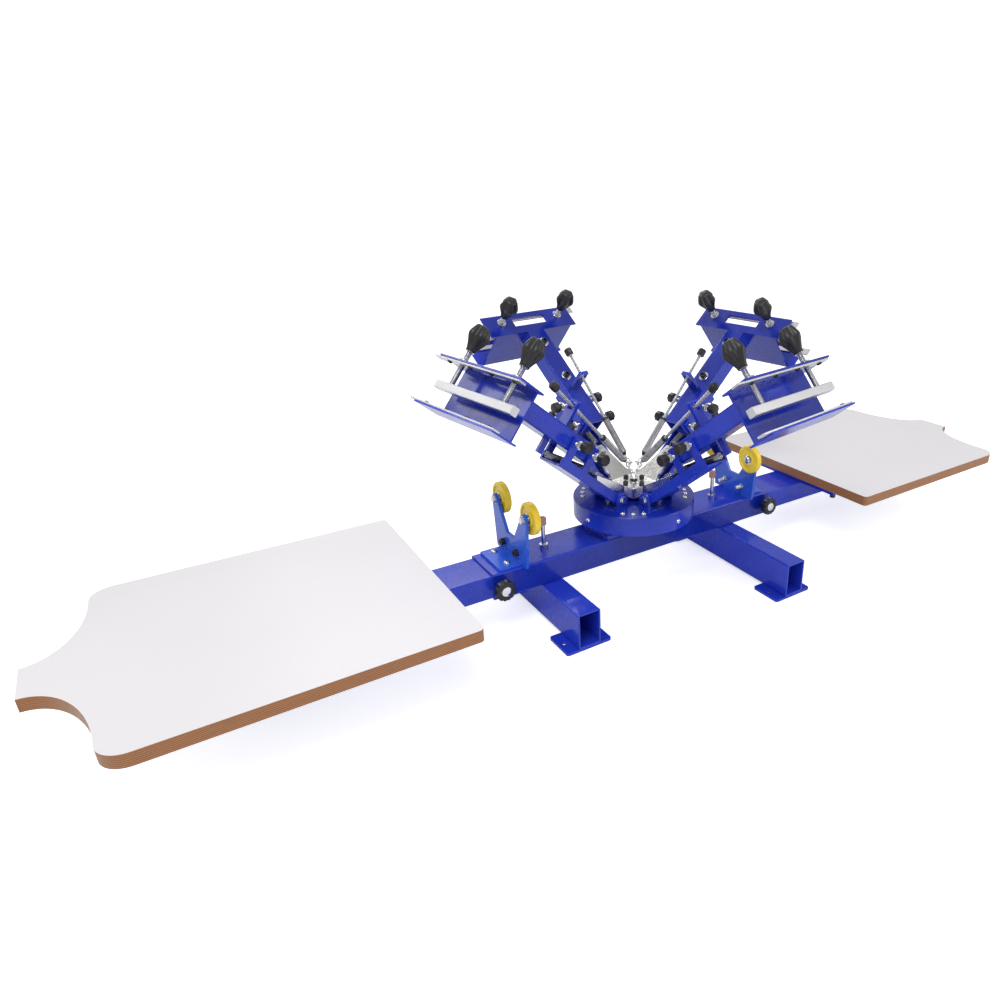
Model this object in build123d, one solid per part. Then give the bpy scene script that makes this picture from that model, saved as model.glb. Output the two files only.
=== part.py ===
from build123d import *
from math import cos, radians, sin, tan, atan2, degrees, hypot
import os

os.makedirs("parts", exist_ok=True)

# Four colour, two station bench press for screen printing.
# Millimetres. The origin is on the table, on the axis of the turntable.
# X runs along the beam from station to station, Y points to the back, Z is up.
# Each print arm is drawn level and pointing along +X, then lifted and turned to its place.

# ---- fits ----
RUNNING_GAP = 0.05        # radial gap of a shaft that turns or slides in its hole
SCREW_GAP = 0.15          # radial gap of a fixed screw in its hole
FACE_GAP = 1.0            # side gap between hinge cheeks that pass each other
TELESCOPE_GAP = 0.5       # gap on each side of a tube that slides in another tube

# ---- beam and legs ----
BEAM_LENGTH = 650.0
BEAM_WIDTH = 90.0
BEAM_HEIGHT = 50.0
BEAM_WALL = 3.0
LEG_SPACING = 418.0
LEG_WIDTH = 44.0
LEG_HEIGHT = 68.0
LEG_WALL = 3.0
LEFT_LEG_FRONT = 168.0    # how far the left leg reaches in front of the beam's axis
RIGHT_LEG_FRONT = 244.0
LEG_BACK = 130.0
FOOT_WIDTH = 90.0
FOOT_LENGTH = 64.0
FOOT_THICKNESS = 5.0
FOOT_HOLE_RADIUS = 4.5

# ---- platens ----
PLATEN_LENGTH = 550.0
PLATEN_WIDTH = 450.0
PLATEN_THICKNESS = 20.0
PLATEN_TOP = 150.0
PLATEN_INNER_EDGE = 420.0   # distance of the platen's inner edge from the turntable axis
PLATEN_CORNER_RADIUS = 35.0
PLATEN_INNER_RADIUS = 8.0
NECK_WIDTH = 76.0
SHOULDER_LENGTH = 79.0      # length of the curved shoulder between the wide body and the neck
PLATEN_ARM_WALL = 3.0
PLATEN_ARM_OVERLAP = 145.0  # length of the platen arm inside the beam
PLATEN_ARM_UNDER = 330.0    # length of the platen arm under the platen
CROSS_BAR_WIDTH = 40.0
CROSS_BAR_LENGTH = 270.0
CROSS_BAR_INSET = 28.0
PLATEN_SCREW_EDGE = 16.0      # from a screw to the end of its cross bar
PLATEN_SCREW_RADIUS = 3.0
PLATEN_SCREW_HEAD_RADIUS = 6.0
PLATEN_SCREW_HEAD = 13.0
PLATEN_SCREW_DEPTH = 12.0

# ---- lock knobs that clamp the platen arms ----
LOCK_INSET = 13.0
LOCK_SCREW_RADIUS = 5.0
LOCK_BOSS_RADIUS = 10.0
LOCK_BOSS_LENGTH = 7.0
LOCK_KNOB_RADIUS = 19.0
LOCK_KNOB_LENGTH = 14.0
LOCK_STEM = 3.0

# ---- registration gates ----
GATE_INSET = 63.0         # from the gate plate's hub side to the end of the beam
GATE_THICKNESS = 6.0
GATE_BASE_WIDTH = 114.0
GATE_FLANGE_LENGTH = 42.0
GATE_FLANGE_WIDTH = 80.0
GATE_FLANGE_THICKNESS = 5.0
GATE_NOTCH_BOTTOM = 166.0
GATE_NOTCH_WIDTH = 28.0
GATE_TIP_RADIUS = 10.0
ROLLER_RADIUS = 29.0
ROLLER_WIDTH = 12.0
ROLLER_SPACING = 110.0
ROLLER_HEIGHT = 216.0
ROLLER_SIDE_GAP = 3.0
AXLE_RADIUS = 5.0
AXLE_HEAD_RADIUS = 8.0
AXLE_HEAD = 5.0
GATE_SCREW_RADIUS = 4.0
GATE_SCREW_SPACING = 52.0
GATE_SCREW_HEIGHT = 143.0
GATE_SCREW_HEAD_RADIUS = 6.5
GATE_SCREW_HEAD = 8.0
GATE_SCREW_LENGTH = 22.0

# ---- height stops under the arms ----
STOP_X = 202.0
STOP_TOP = 183.5
STOP_RADIUS = 4.0
STOP_CAP_RADIUS = 7.0
STOP_CAP_HEIGHT = 14.0
STOP_NUT_RADIUS = 8.0
STOP_NUT_HEIGHT = 7.0

# ---- hub and turntable ----
HUB_PLATE_LENGTH = 184.0
HUB_PLATE_WIDTH = 88.0
HUB_PLATE_THICKNESS = 8.0
HUB_BOLT_SPACING_X = 160.0
HUB_BOLT_SPACING_Y = 60.0
HUB_BOLT_RADIUS = 5.0
HUB_BOLT_HEAD_RADIUS = 8.5
HUB_BOLT_HEAD = 7.0
SPINDLE_RADIUS = 15.0
SPINDLE_COLLAR_RADIUS = 30.0
SPINDLE_COLLAR_HEIGHT = 14.0
BEARING_RADIUS = 26.0
BEARING_WIDTH = 12.0
DRUM_RADIUS = 118.0
DRUM_BOTTOM = 146.0
DRUM_TOP = 182.0
DRUM_WALL = 5.0
DRUM_TOP_THICKNESS = 7.0
HUB_CORE_RADIUS = 34.0       # wall around the bearings, inside the drum
HUB_NECK_RADIUS = 27.0       # post above the drum that carries the star plate
STUD_CIRCLE = 46.0
STUD_RADIUS = 4.0
DRUM_SCREW_CIRCLE = 100.0
DRUM_SCREW_RADIUS = 4.5
DRUM_SCREW_HEAD = 3.5
DRUM_SCREW_STEP = 11.0      # degrees between the three cover screws of a group
INDEX_SCREW_HEIGHT = 162.0
TURNTABLE_ANGLE = 9.3       # how far the arms stand past the stations

# ---- star plate ----
STAR_BOTTOM = 204.0
STAR_THICKNESS = 4.0
STAR_SQUARE = 60.0            # side of the flat middle, and width of the arms where they start
STAR_WAIST_RADIUS = 46.0
STAR_WAIST_WIDTH = 44.0
STAR_ARM_WIDTH = 26.0
STAR_TIP_RADIUS = 106.0
STAR_TIP_HEIGHT = 252.0
STAR_FLANGE = 16.0            # depth of the folded edges of the star arms
STAR_FLANGE_WALL = 3.0
STAR_SCREW_CIRCLE = 21.8
STAR_SCREW_RADIUS = 3.0
STAR_SCREW_HEAD_RADIUS = 5.0
STAR_SCREW_HEAD = 5.0
STAR_SCREW_LENGTH = 12.0
ANCHOR_CIRCLE = 92.0
ANCHOR_RADIUS = 3.5
ANCHOR_HEAD_RADIUS = 6.5
ANCHOR_HEAD = 6.0
EYE_HEIGHT = 238.0
EYE_RING_RADIUS = 9.5
EYE_WIRE_RADIUS = 2.5

# ---- arm hinge ----
PIVOT_X = 62.0
PIVOT_Z = 197.0
PIVOT_RADIUS = 5.0
PIVOT_HEAD = 4.0
PIVOT_HEAD_RADIUS = 8.0
CHEEK_RADIUS = 12.0
BRACKET_THICKNESS = 6.0
ARM_LIFT = 40.0             # degrees that the arms stand above level at rest

# ---- lower print arm, an open channel ----
LOWER_WIDTH = 56.0
LOWER_WALL = 4.0
LOWER_BOTTOM = 184.5
LOWER_TOP = 202.0
LOWER_FLOOR_START = 72.0
LOWER_END = 236.0
EAR_WIDTH = 16.0
EAR_TOP = 243.0
REAR_SCREW_X = 177.0
FRONT_SCREW_X = 226.0

# ---- upper print arm, a tube that carries the screen clamp ----
UPPER_START = 164.0
UPPER_WIDTH = 44.0
UPPER_HEIGHT = 34.0
UPPER_BOTTOM = 216.0
UPPER_WALL = 3.0
CROSS_SCREW_RADIUS = 4.0
SIDE_KNOB_RADIUS = 11.0
SIDE_KNOB_LENGTH = 18.0
SIDE_KNOB_STANDOFF = 16.0
SPRING_LUG_X = 268.0
SPRING_LUG_WIDTH = 6.0
SPRING_LUG_LENGTH = 12.0
SPRING_LUG_BOTTOM = 188.0
SPRING_HOOK_Z = 192.0
STAY_GUIDE_X = 250.0
STAY_GUIDE_Z = 288.0
STAY_GUIDE_THICKNESS = 6.0
STAY_GUIDE_SLOT = 15.0
STAY_GUIDE_RIM = 4.0

# ---- screen clamp ----
CLAMP_X = 404.0
CLAMP_WIDTH = 216.0         # length of the flanges
CLAMP_WEB_WIDTH = 190.0
CLAMP_WINDOW_LENGTH = 80.0
CLAMP_WINDOW_WIDTH = 20.0
CLAMP_DEPTH = 50.0
CLAMP_BOTTOM = 162.0
CLAMP_TOP = 250.0
CLAMP_WALL = 3.0
CLAMP_SCREW_SPACING = 142.0
CLAMP_SCREW_X = 432.0
CLAMP_SCREW_RADIUS = 5.0
CLAMP_COLLAR_RADIUS = 9.0
CLAMP_COLLAR_HEIGHT = 6.0
BAR_LENGTH = 206.0
BAR_SIZE = 14.0
BAR_BOTTOM = 198.0
BAR_SOCKET_DEPTH = 8.0
T_KNOB_BOTTOM = 272.0
T_KNOB_HEIGHT = 46.0
T_KNOB_RADIUS = 19.0
T_KNOB_FOOT_RADIUS = 8.5
T_KNOB_TOP_RADIUS = 12.0
T_KNOB_SHOULDER = 0.62        # share of the knob's height where it is widest

# ---- lift spring below the arm and the tension rod above it ----
SPRING_RADIUS = 6.0
SPRING_WIRE = 1.6
SPRING_START = 22.0
SPRING_STOP = 12.0
HOOK_CLEARANCE = 0.8          # of the spring's hook above the sloping star arm
HOOK_STANDOFF = 9.0
STAY_PIVOT_R = 16.0
STAY_PIVOT_Z = 246.0
STAY_EYE_RADIUS = 3.2
STAY_SPRING_START = 12.0
STAY_SPRING_LENGTH = 84.0
STAY_SPRING_RADIUS = 6.5
STAY_ROD_RADIUS = 3.0
STAY_KNOB_START = 243.0
STAY_KNOB_LENGTH = 14.0
STAY_KNOB_RADIUS = 8.0

# ---- heights and places that follow from the sizes above ----
PLATEN_SCREW_SPACING = CROSS_BAR_LENGTH - 2 * PLATEN_SCREW_EDGE
GATE_X = BEAM_LENGTH / 2 - GATE_INSET
STAR_FOLD = STAR_SQUARE / 2   # distance from the axis at which the star arms bend up
BEAM_BOTTOM = FOOT_THICKNESS + LEG_HEIGHT
BEAM_TOP = BEAM_BOTTOM + BEAM_HEIGHT
BEAM_MIDDLE = BEAM_BOTTOM + BEAM_HEIGHT / 2
BEAM_HALF = BEAM_LENGTH / 2
PLATEN_ARM_WIDTH = BEAM_WIDTH - 2 * BEAM_WALL - 2 * TELESCOPE_GAP
PLATEN_ARM_HEIGHT = BEAM_HEIGHT - 2 * BEAM_WALL - 2 * TELESCOPE_GAP
PLATEN_ARM_TOP = BEAM_MIDDLE + PLATEN_ARM_HEIGHT / 2
PLATEN_BOTTOM = PLATEN_TOP - PLATEN_THICKNESS
HUB_PLATE_TOP = BEAM_TOP + HUB_PLATE_THICKNESS
LOCK_X = BEAM_HALF - LOCK_INSET
UPPER_TOP = UPPER_BOTTOM + UPPER_HEIGHT
UPPER_MIDDLE = UPPER_BOTTOM + UPPER_HEIGHT / 2
BAR_TOP = BAR_BOTTOM + BAR_SIZE
BRACKET_INNER = LOWER_WIDTH / 2 + FACE_GAP
BRACKET_OUTER = BRACKET_INNER + BRACKET_THICKNESS
ARM_ANGLES = [TURNTABLE_ANGLE + 90 * index for index in range(4)]
STATIONS = {"left": -1, "right": 1}


def block(x_low, x_high, y_low, y_high, z_low, z_high):
    """Box between two corners."""
    middle = ((x_low + x_high) / 2, (y_low + y_high) / 2, (z_low + z_high) / 2)
    return Pos(*middle) * Box(x_high - x_low, y_high - y_low, z_high - z_low)


def post(x, y, z_low, z_high, radius):
    """Upright cylinder."""
    return Pos(x, y, (z_low + z_high) / 2) * Cylinder(radius, z_high - z_low)


def bar_along_x(x_low, x_high, y, z, radius):
    return Pos((x_low + x_high) / 2, y, z) * Rot(0, 90, 0) * Cylinder(radius, x_high - x_low)


def bar_along_y(x, y_low, y_high, z, radius):
    return Pos(x, (y_low + y_high) / 2, z) * Rot(90, 0, 0) * Cylinder(radius, y_high - y_low)


def mirror_to(side, shape):
    """The right-hand shape as it is, or its mirror image at the left station."""
    return shape if side > 0 else mirror(shape, Plane.YZ)


def on_turntable(shape, angle):
    return Rot(0, 0, angle) * shape


def lifted(shape, angle):
    """A piece of a level print arm, lifted about its hinge and turned to its place."""
    lift = Pos(PIVOT_X, 0, PIVOT_Z) * Rot(0, -ARM_LIFT, 0) * Pos(-PIVOT_X, 0, -PIVOT_Z)
    return Rot(0, 0, angle) * lift * shape


def group(shapes):
    """Several separate solids in one node."""
    solids = [solid for shape in shapes for solid in shape.solids()]
    return Compound(children=solids)


def save(name, shape):
    shape.label = name
    export_step(shape, f"parts/{name}.step")


# ---------------- beam, legs, stops ----------------

def beam():
    outer = block(-BEAM_HALF, BEAM_HALF, -BEAM_WIDTH / 2, BEAM_WIDTH / 2, BEAM_BOTTOM, BEAM_TOP)
    outer = fillet(outer.edges().filter_by(Axis.X), BEAM_WALL)
    inner = block(
        -BEAM_HALF, BEAM_HALF,
        -BEAM_WIDTH / 2 + BEAM_WALL, BEAM_WIDTH / 2 - BEAM_WALL,
        BEAM_BOTTOM + BEAM_WALL, BEAM_TOP - BEAM_WALL,
    )
    tube = outer
    front = -BEAM_WIDTH / 2
    for side in STATIONS.values():
        x = side * LOCK_X
        tube += bar_along_y(x, front - LOCK_BOSS_LENGTH, front + BEAM_WALL, BEAM_MIDDLE, LOCK_BOSS_RADIUS)
    tube -= inner
    for side in STATIONS.values():
        tube -= bar_along_y(
            side * LOCK_X, front - LOCK_BOSS_LENGTH - 1, front + BEAM_WALL + 1,
            BEAM_MIDDLE, LOCK_SCREW_RADIUS + RUNNING_GAP,
        )
        tube -= post(side * STOP_X, 0, BEAM_TOP - BEAM_WALL - 1, BEAM_TOP + 1, STOP_RADIUS + SCREW_GAP)
        for y in (-GATE_SCREW_SPACING / 2, GATE_SCREW_SPACING / 2):
            tube -= post(
                side * gate_bolt_x(), y, BEAM_TOP - BEAM_WALL - 1, BEAM_TOP + 1,
                GATE_SCREW_RADIUS + SCREW_GAP,
            )
    for x, y in hub_bolt_places():
        tube -= post(x, y, BEAM_TOP - BEAM_WALL - 1, BEAM_TOP + 1, HUB_BOLT_RADIUS + SCREW_GAP)
    return tube


def leg(x, front):
    """Square tube across the beam with a drilled foot plate under each end."""
    outer = block(x - LEG_WIDTH / 2, x + LEG_WIDTH / 2, -front, LEG_BACK, FOOT_THICKNESS, BEAM_BOTTOM)
    outer = fillet(outer.edges().filter_by(Axis.Y), LEG_WALL)
    inner = block(
        x - LEG_WIDTH / 2 + LEG_WALL, x + LEG_WIDTH / 2 - LEG_WALL, -front, LEG_BACK,
        FOOT_THICKNESS + LEG_WALL, BEAM_BOTTOM - LEG_WALL,
    )
    shape = outer - inner
    for y_low in (-front, LEG_BACK - FOOT_LENGTH):
        plate = block(x - FOOT_WIDTH / 2, x + FOOT_WIDTH / 2, y_low, y_low + FOOT_LENGTH, 0, FOOT_THICKNESS)
        shape += fillet(plate.edges().filter_by(Axis.Z), FOOT_THICKNESS)
        for side in (-1, 1):
            hole_x = x + side * (FOOT_WIDTH + LEG_WIDTH) / 4
            shape -= post(hole_x, y_low + FOOT_LENGTH / 2, -1, FOOT_THICKNESS + 1, FOOT_HOLE_RADIUS)
    return shape


def legs():
    return group([leg(-LEG_SPACING / 2, LEFT_LEG_FRONT), leg(LEG_SPACING / 2, RIGHT_LEG_FRONT)])


def height_stop(side):
    """Screw with a lock nut and a rubber cap that the lowered arm rests on."""
    x = side * STOP_X
    shape = post(x, 0, BEAM_TOP - BEAM_WALL, STOP_TOP - STOP_CAP_HEIGHT / 2, STOP_RADIUS)
    shape += post(x, 0, BEAM_TOP, BEAM_TOP + STOP_NUT_HEIGHT, STOP_NUT_RADIUS)
    cap = post(x, 0, STOP_TOP - STOP_CAP_HEIGHT, STOP_TOP, STOP_CAP_RADIUS)
    return shape + fillet(cap.edges().group_by(Axis.Z)[-1], STOP_CAP_RADIUS / 3)


# ---------------- registration gates ----------------

def gate_bolt_x():
    return GATE_X + GATE_THICKNESS + GATE_FLANGE_LENGTH / 2


def gate_plate(side):
    """Upright plate with two prongs, on a flange that is screwed to the beam."""
    half_base = GATE_BASE_WIDTH / 2
    prong = ROLLER_SPACING / 2
    notch = GATE_NOTCH_WIDTH / 2
    outline = Polygon(
        (-half_base, BEAM_TOP), (half_base, BEAM_TOP),
        (prong + GATE_TIP_RADIUS, ROLLER_HEIGHT), (prong - GATE_TIP_RADIUS, ROLLER_HEIGHT),
        (notch, GATE_NOTCH_BOTTOM), (-notch, GATE_NOTCH_BOTTOM),
        (-prong + GATE_TIP_RADIUS, ROLLER_HEIGHT), (-prong - GATE_TIP_RADIUS, ROLLER_HEIGHT),
        align=None,
    )
    for y in (-prong, prong):
        outline += Pos(y, ROLLER_HEIGHT) * Circle(GATE_TIP_RADIUS)
    plane = Plane(origin=(GATE_X, 0, 0), x_dir=(0, 1, 0), z_dir=(1, 0, 0))
    shape = extrude(plane * outline, GATE_THICKNESS)
    shape += block(
        GATE_X, GATE_X + GATE_THICKNESS + GATE_FLANGE_LENGTH,
        -GATE_FLANGE_WIDTH / 2, GATE_FLANGE_WIDTH / 2, BEAM_TOP, BEAM_TOP + GATE_FLANGE_THICKNESS,
    )
    before = GATE_X - FACE_GAP
    beyond = GATE_X + GATE_THICKNESS + FACE_GAP
    flange_top = BEAM_TOP + GATE_FLANGE_THICKNESS
    screw_hole = GATE_SCREW_RADIUS + SCREW_GAP
    for y in (-prong, prong):
        shape -= bar_along_x(before, beyond, y, ROLLER_HEIGHT, AXLE_RADIUS + SCREW_GAP)
    for y in (-GATE_SCREW_SPACING / 2, GATE_SCREW_SPACING / 2):
        shape -= post(gate_bolt_x(), y, BEAM_TOP - FACE_GAP, flange_top + FACE_GAP, screw_hole)
        shape -= bar_along_x(before, beyond, y, GATE_SCREW_HEIGHT, screw_hole)
    return mirror_to(side, shape)


def roller_x():
    """Middle of the roller, on the hub side of the gate plate."""
    return GATE_X - ROLLER_SIDE_GAP - ROLLER_WIDTH / 2


def gate_roller(side, y):
    x = roller_x()
    wheel = bar_along_x(x - ROLLER_WIDTH / 2, x + ROLLER_WIDTH / 2, y, ROLLER_HEIGHT, ROLLER_RADIUS)
    wheel = fillet(wheel.edges().filter_by(GeomType.CIRCLE), ROLLER_WIDTH / 4)
    wheel -= bar_along_x(x - ROLLER_WIDTH, x + ROLLER_WIDTH, y, ROLLER_HEIGHT, AXLE_RADIUS + RUNNING_GAP)
    return mirror_to(side, wheel)


def roller_axle(y):
    inner_end = roller_x() - ROLLER_WIDTH / 2 - FACE_GAP
    outer_end = GATE_X + GATE_THICKNESS
    pin = bar_along_x(inner_end - AXLE_HEAD, outer_end + AXLE_HEAD, y, ROLLER_HEIGHT, AXLE_RADIUS)
    pin += bar_along_x(inner_end - AXLE_HEAD, inner_end, y, ROLLER_HEIGHT, AXLE_HEAD_RADIUS)
    return pin + bar_along_x(outer_end, outer_end + AXLE_HEAD, y, ROLLER_HEIGHT, AXLE_HEAD_RADIUS)


def gate_adjuster(y):
    """Black-headed screw through the gate plate with a jam nut behind it."""
    face = GATE_X + GATE_THICKNESS
    head_end = face + GATE_SCREW_HEAD
    nut_end = GATE_X - GATE_SCREW_HEAD / 2
    z = GATE_SCREW_HEIGHT
    screw = bar_along_x(face - GATE_SCREW_LENGTH, head_end, y, z, GATE_SCREW_RADIUS)
    screw += bar_along_x(face, head_end, y, z, GATE_SCREW_HEAD_RADIUS)
    return screw + bar_along_x(nut_end, GATE_X, y, z, GATE_SCREW_HEAD_RADIUS)


def gate_bolt(y):
    top = BEAM_TOP + GATE_FLANGE_THICKNESS
    screw = post(gate_bolt_x(), y, BEAM_TOP - BEAM_WALL, top, GATE_SCREW_RADIUS)
    return screw + post(gate_bolt_x(), y, top, top + GATE_SCREW_HEAD / 2, GATE_SCREW_HEAD_RADIUS)


def hub_bolt_places():
    return [
        (sx * HUB_BOLT_SPACING_X / 2, sy * HUB_BOLT_SPACING_Y / 2)
        for sx in (-1, 1) for sy in (-1, 1)
    ]


def hub_bolt(x, y):
    screw = post(x, y, BEAM_TOP - BEAM_WALL, HUB_PLATE_TOP, HUB_BOLT_RADIUS)
    return screw + post(x, y, HUB_PLATE_TOP, HUB_PLATE_TOP + HUB_BOLT_HEAD, HUB_BOLT_HEAD_RADIUS)


def base_fasteners():
    pieces = [hub_bolt(x, y) for x, y in hub_bolt_places()]
    for side in STATIONS.values():
        for y in (-ROLLER_SPACING / 2, ROLLER_SPACING / 2):
            pieces.append(mirror_to(side, roller_axle(y)))
        for y in (-GATE_SCREW_SPACING / 2, GATE_SCREW_SPACING / 2):
            pieces.append(mirror_to(side, gate_adjuster(y)))
            pieces.append(mirror_to(side, gate_bolt(y)))
    return group(pieces)


# ---------------- platens ----------------

def platen_arm(side):
    """Tube that slides in the beam, with two cross bars that the platen is screwed to."""
    start = BEAM_HALF - PLATEN_ARM_OVERLAP
    end = PLATEN_INNER_EDGE + PLATEN_ARM_UNDER
    half_width = PLATEN_ARM_WIDTH / 2
    bottom = PLATEN_ARM_TOP - PLATEN_ARM_HEIGHT
    outer = block(start, end, -half_width, half_width, bottom, PLATEN_ARM_TOP)
    outer = fillet(outer.edges().filter_by(Axis.X), PLATEN_ARM_WALL)
    shape = outer - block(
        start, end, -half_width + PLATEN_ARM_WALL, half_width - PLATEN_ARM_WALL,
        bottom + PLATEN_ARM_WALL, PLATEN_ARM_TOP - PLATEN_ARM_WALL,
    )
    for x in cross_bar_places():
        shape += block(
            x - CROSS_BAR_WIDTH / 2, x + CROSS_BAR_WIDTH / 2,
            -CROSS_BAR_LENGTH / 2, CROSS_BAR_LENGTH / 2, PLATEN_ARM_TOP, PLATEN_BOTTOM,
        )
        for y in (-PLATEN_SCREW_SPACING / 2, PLATEN_SCREW_SPACING / 2):
            shape -= post(x, y, PLATEN_ARM_TOP - 1, PLATEN_BOTTOM + 1, PLATEN_SCREW_RADIUS + SCREW_GAP)
    return mirror_to(side, shape)


def cross_bar_places():
    first = PLATEN_INNER_EDGE + CROSS_BAR_INSET
    last = PLATEN_INNER_EDGE + PLATEN_ARM_UNDER - CROSS_BAR_WIDTH / 2
    return (first, last)


def platen(side):
    """Laminated board: a rectangle whose outer end runs in curved shoulders to a neck."""
    inner = PLATEN_INNER_EDGE
    outer = inner + PLATEN_LENGTH
    half = PLATEN_WIDTH / 2
    neck = NECK_WIDTH / 2
    shoulder_x = outer - SHOULDER_LENGTH
    shoulder_y = half - PLATEN_CORNER_RADIUS
    drop = shoulder_y - neck
    upper = EllipticalCenterArc((outer, shoulder_y), SHOULDER_LENGTH, drop, start_angle=180, arc_size=90)
    lower = EllipticalCenterArc((outer, -shoulder_y), SHOULDER_LENGTH, drop, start_angle=90, arc_size=90)
    corner = PLATEN_CORNER_RADIUS
    top_corner = RadiusArc((shoulder_x - corner, half), (shoulder_x, shoulder_y), corner)
    low_corner = RadiusArc((shoulder_x, -shoulder_y), (shoulder_x - corner, -half), corner)
    edges = [
        Line((inner, -half), (inner, half)),
        Line((inner, half), (shoulder_x - corner, half)),
        top_corner,
        upper,
        Line((outer, neck), (outer, -neck)),
        lower,
        low_corner,
        Line((shoulder_x - corner, -half), (inner, -half)),
    ]
    face = make_face(Wire(edges))
    board = Pos(0, 0, PLATEN_BOTTOM) * extrude(face, PLATEN_THICKNESS, dir=(0, 0, 1))
    uprights = board.edges().filter_by(Axis.Z).sort_by(Axis.X)
    board = fillet(uprights[:2], PLATEN_INNER_RADIUS)
    for x in cross_bar_places():
        for y in (-PLATEN_SCREW_SPACING / 2, PLATEN_SCREW_SPACING / 2):
            board -= post(
                x, y, PLATEN_BOTTOM - 1, PLATEN_BOTTOM + PLATEN_SCREW_DEPTH + FACE_GAP,
                PLATEN_SCREW_RADIUS + SCREW_GAP,
            )
    return mirror_to(side, board)


def platen_screws(side):
    """Thumb screws that come up through the cross bars into the platen."""
    head_bottom = PLATEN_ARM_TOP - PLATEN_SCREW_HEAD
    pieces = []
    for x in cross_bar_places():
        for y in (-PLATEN_SCREW_SPACING / 2, PLATEN_SCREW_SPACING / 2):
            screw = post(side * x, y, head_bottom, PLATEN_BOTTOM + PLATEN_SCREW_DEPTH, PLATEN_SCREW_RADIUS)
            pieces.append(screw + post(side * x, y, head_bottom, PLATEN_ARM_TOP, PLATEN_SCREW_HEAD_RADIUS))
    return group(pieces)


def lock_knob(side):
    """Hand screw through the front wall of the beam that presses on the platen arm."""
    front = -BEAM_WIDTH / 2
    tip = -PLATEN_ARM_WIDTH / 2 - FACE_GAP / 2
    boss_face = front - LOCK_BOSS_LENGTH
    knob_back = boss_face - LOCK_STEM
    knob_face = knob_back - LOCK_KNOB_LENGTH
    x = side * LOCK_X
    knob = bar_along_y(x, knob_face, knob_back, BEAM_MIDDLE, LOCK_KNOB_RADIUS)
    knob = fillet(knob.edges().filter_by(GeomType.CIRCLE), LOCK_KNOB_LENGTH / 4)
    return knob + bar_along_y(x, knob_back - 1, tip, BEAM_MIDDLE, LOCK_SCREW_RADIUS)


# ---------------- hub and turntable ----------------

def hub_base():
    """Plate bolted to the beam with the fixed spindle welded on."""
    plate = block(
        -HUB_PLATE_LENGTH / 2, HUB_PLATE_LENGTH / 2,
        -HUB_PLATE_WIDTH / 2, HUB_PLATE_WIDTH / 2, BEAM_TOP, HUB_PLATE_TOP,
    )
    plate = fillet(plate.edges().filter_by(Axis.Z), HUB_PLATE_THICKNESS)
    for x, y in hub_bolt_places():
        plate -= post(x, y, BEAM_TOP - 1, HUB_PLATE_TOP + 1, HUB_BOLT_RADIUS + SCREW_GAP)
    return plate + spindle()


def spindle():
    """Fixed upright shaft with a broad foot."""
    shaft = post(0, 0, HUB_PLATE_TOP, STAR_BOTTOM - FACE_GAP, SPINDLE_RADIUS)
    collar = post(0, 0, HUB_PLATE_TOP, HUB_PLATE_TOP + SPINDLE_COLLAR_HEIGHT, SPINDLE_COLLAR_RADIUS)
    return shaft + chamfer(collar.edges().group_by(Axis.Z)[-1], SPINDLE_COLLAR_HEIGHT / 3)


def bearing_bottoms():
    return (DRUM_BOTTOM + FACE_GAP, DRUM_TOP - BEARING_WIDTH)


def hub_bearings():
    pieces = []
    for bottom in bearing_bottoms():
        ring = post(0, 0, bottom, bottom + BEARING_WIDTH, BEARING_RADIUS)
        bore = post(0, 0, bottom - 1, bottom + BEARING_WIDTH + 1, SPINDLE_RADIUS + RUNNING_GAP)
        pieces.append(ring - bore)
    return group(pieces)


def turntable_drum():
    """Inverted cup with a bearing hub in the middle and a neck that carries the star plate."""
    drum = post(0, 0, DRUM_BOTTOM, DRUM_TOP, DRUM_RADIUS)
    drum = fillet(drum.edges().group_by(Axis.Z)[-1], DRUM_WALL / 2)
    cavity = post(0, 0, DRUM_BOTTOM - 1, DRUM_TOP - DRUM_TOP_THICKNESS, DRUM_RADIUS - DRUM_WALL)
    cavity -= post(0, 0, DRUM_BOTTOM - 1, DRUM_TOP, HUB_CORE_RADIUS)
    drum -= cavity
    drum += post(0, 0, DRUM_TOP, STAR_BOTTOM, HUB_NECK_RADIUS)
    drum -= post(0, 0, DRUM_BOTTOM - 1, STAR_BOTTOM + 1, SPINDLE_RADIUS + 2 * FACE_GAP)
    for bottom in bearing_bottoms():
        drum -= post(0, 0, bottom, bottom + BEARING_WIDTH, BEARING_RADIUS + RUNNING_GAP)
    drum -= post(0, 0, DRUM_BOTTOM - 1, DRUM_BOTTOM + FACE_GAP, BEARING_RADIUS + RUNNING_GAP)
    for angle in ARM_ANGLES:
        drum -= on_turntable(index_screw_hole(), angle)
        for x, y in star_screw_places():
            hole_bottom = STAR_BOTTOM - STAR_SCREW_LENGTH
            hole = post(x, y, hole_bottom, STAR_BOTTOM + 1, STAR_SCREW_RADIUS + SCREW_GAP)
            drum -= on_turntable(hole, angle)
        for side in (-1, 1):
            drum += on_turntable(hinge_bracket(side), angle)
    return drum


def index_screw_hole():
    return bar_along_x(
        DRUM_RADIUS - DRUM_WALL - 1, DRUM_RADIUS + 1, 0, INDEX_SCREW_HEIGHT,
        DRUM_SCREW_RADIUS / 2 + SCREW_GAP,
    )


def index_screw():
    """Round-headed screw in the drum's side under each arm."""
    head = bar_along_x(DRUM_RADIUS, DRUM_RADIUS + DRUM_SCREW_HEAD, 0, INDEX_SCREW_HEIGHT, DRUM_SCREW_RADIUS)
    inner = DRUM_RADIUS - DRUM_WALL
    return head + bar_along_x(inner, DRUM_RADIUS, 0, INDEX_SCREW_HEIGHT, DRUM_SCREW_RADIUS / 2)


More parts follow.
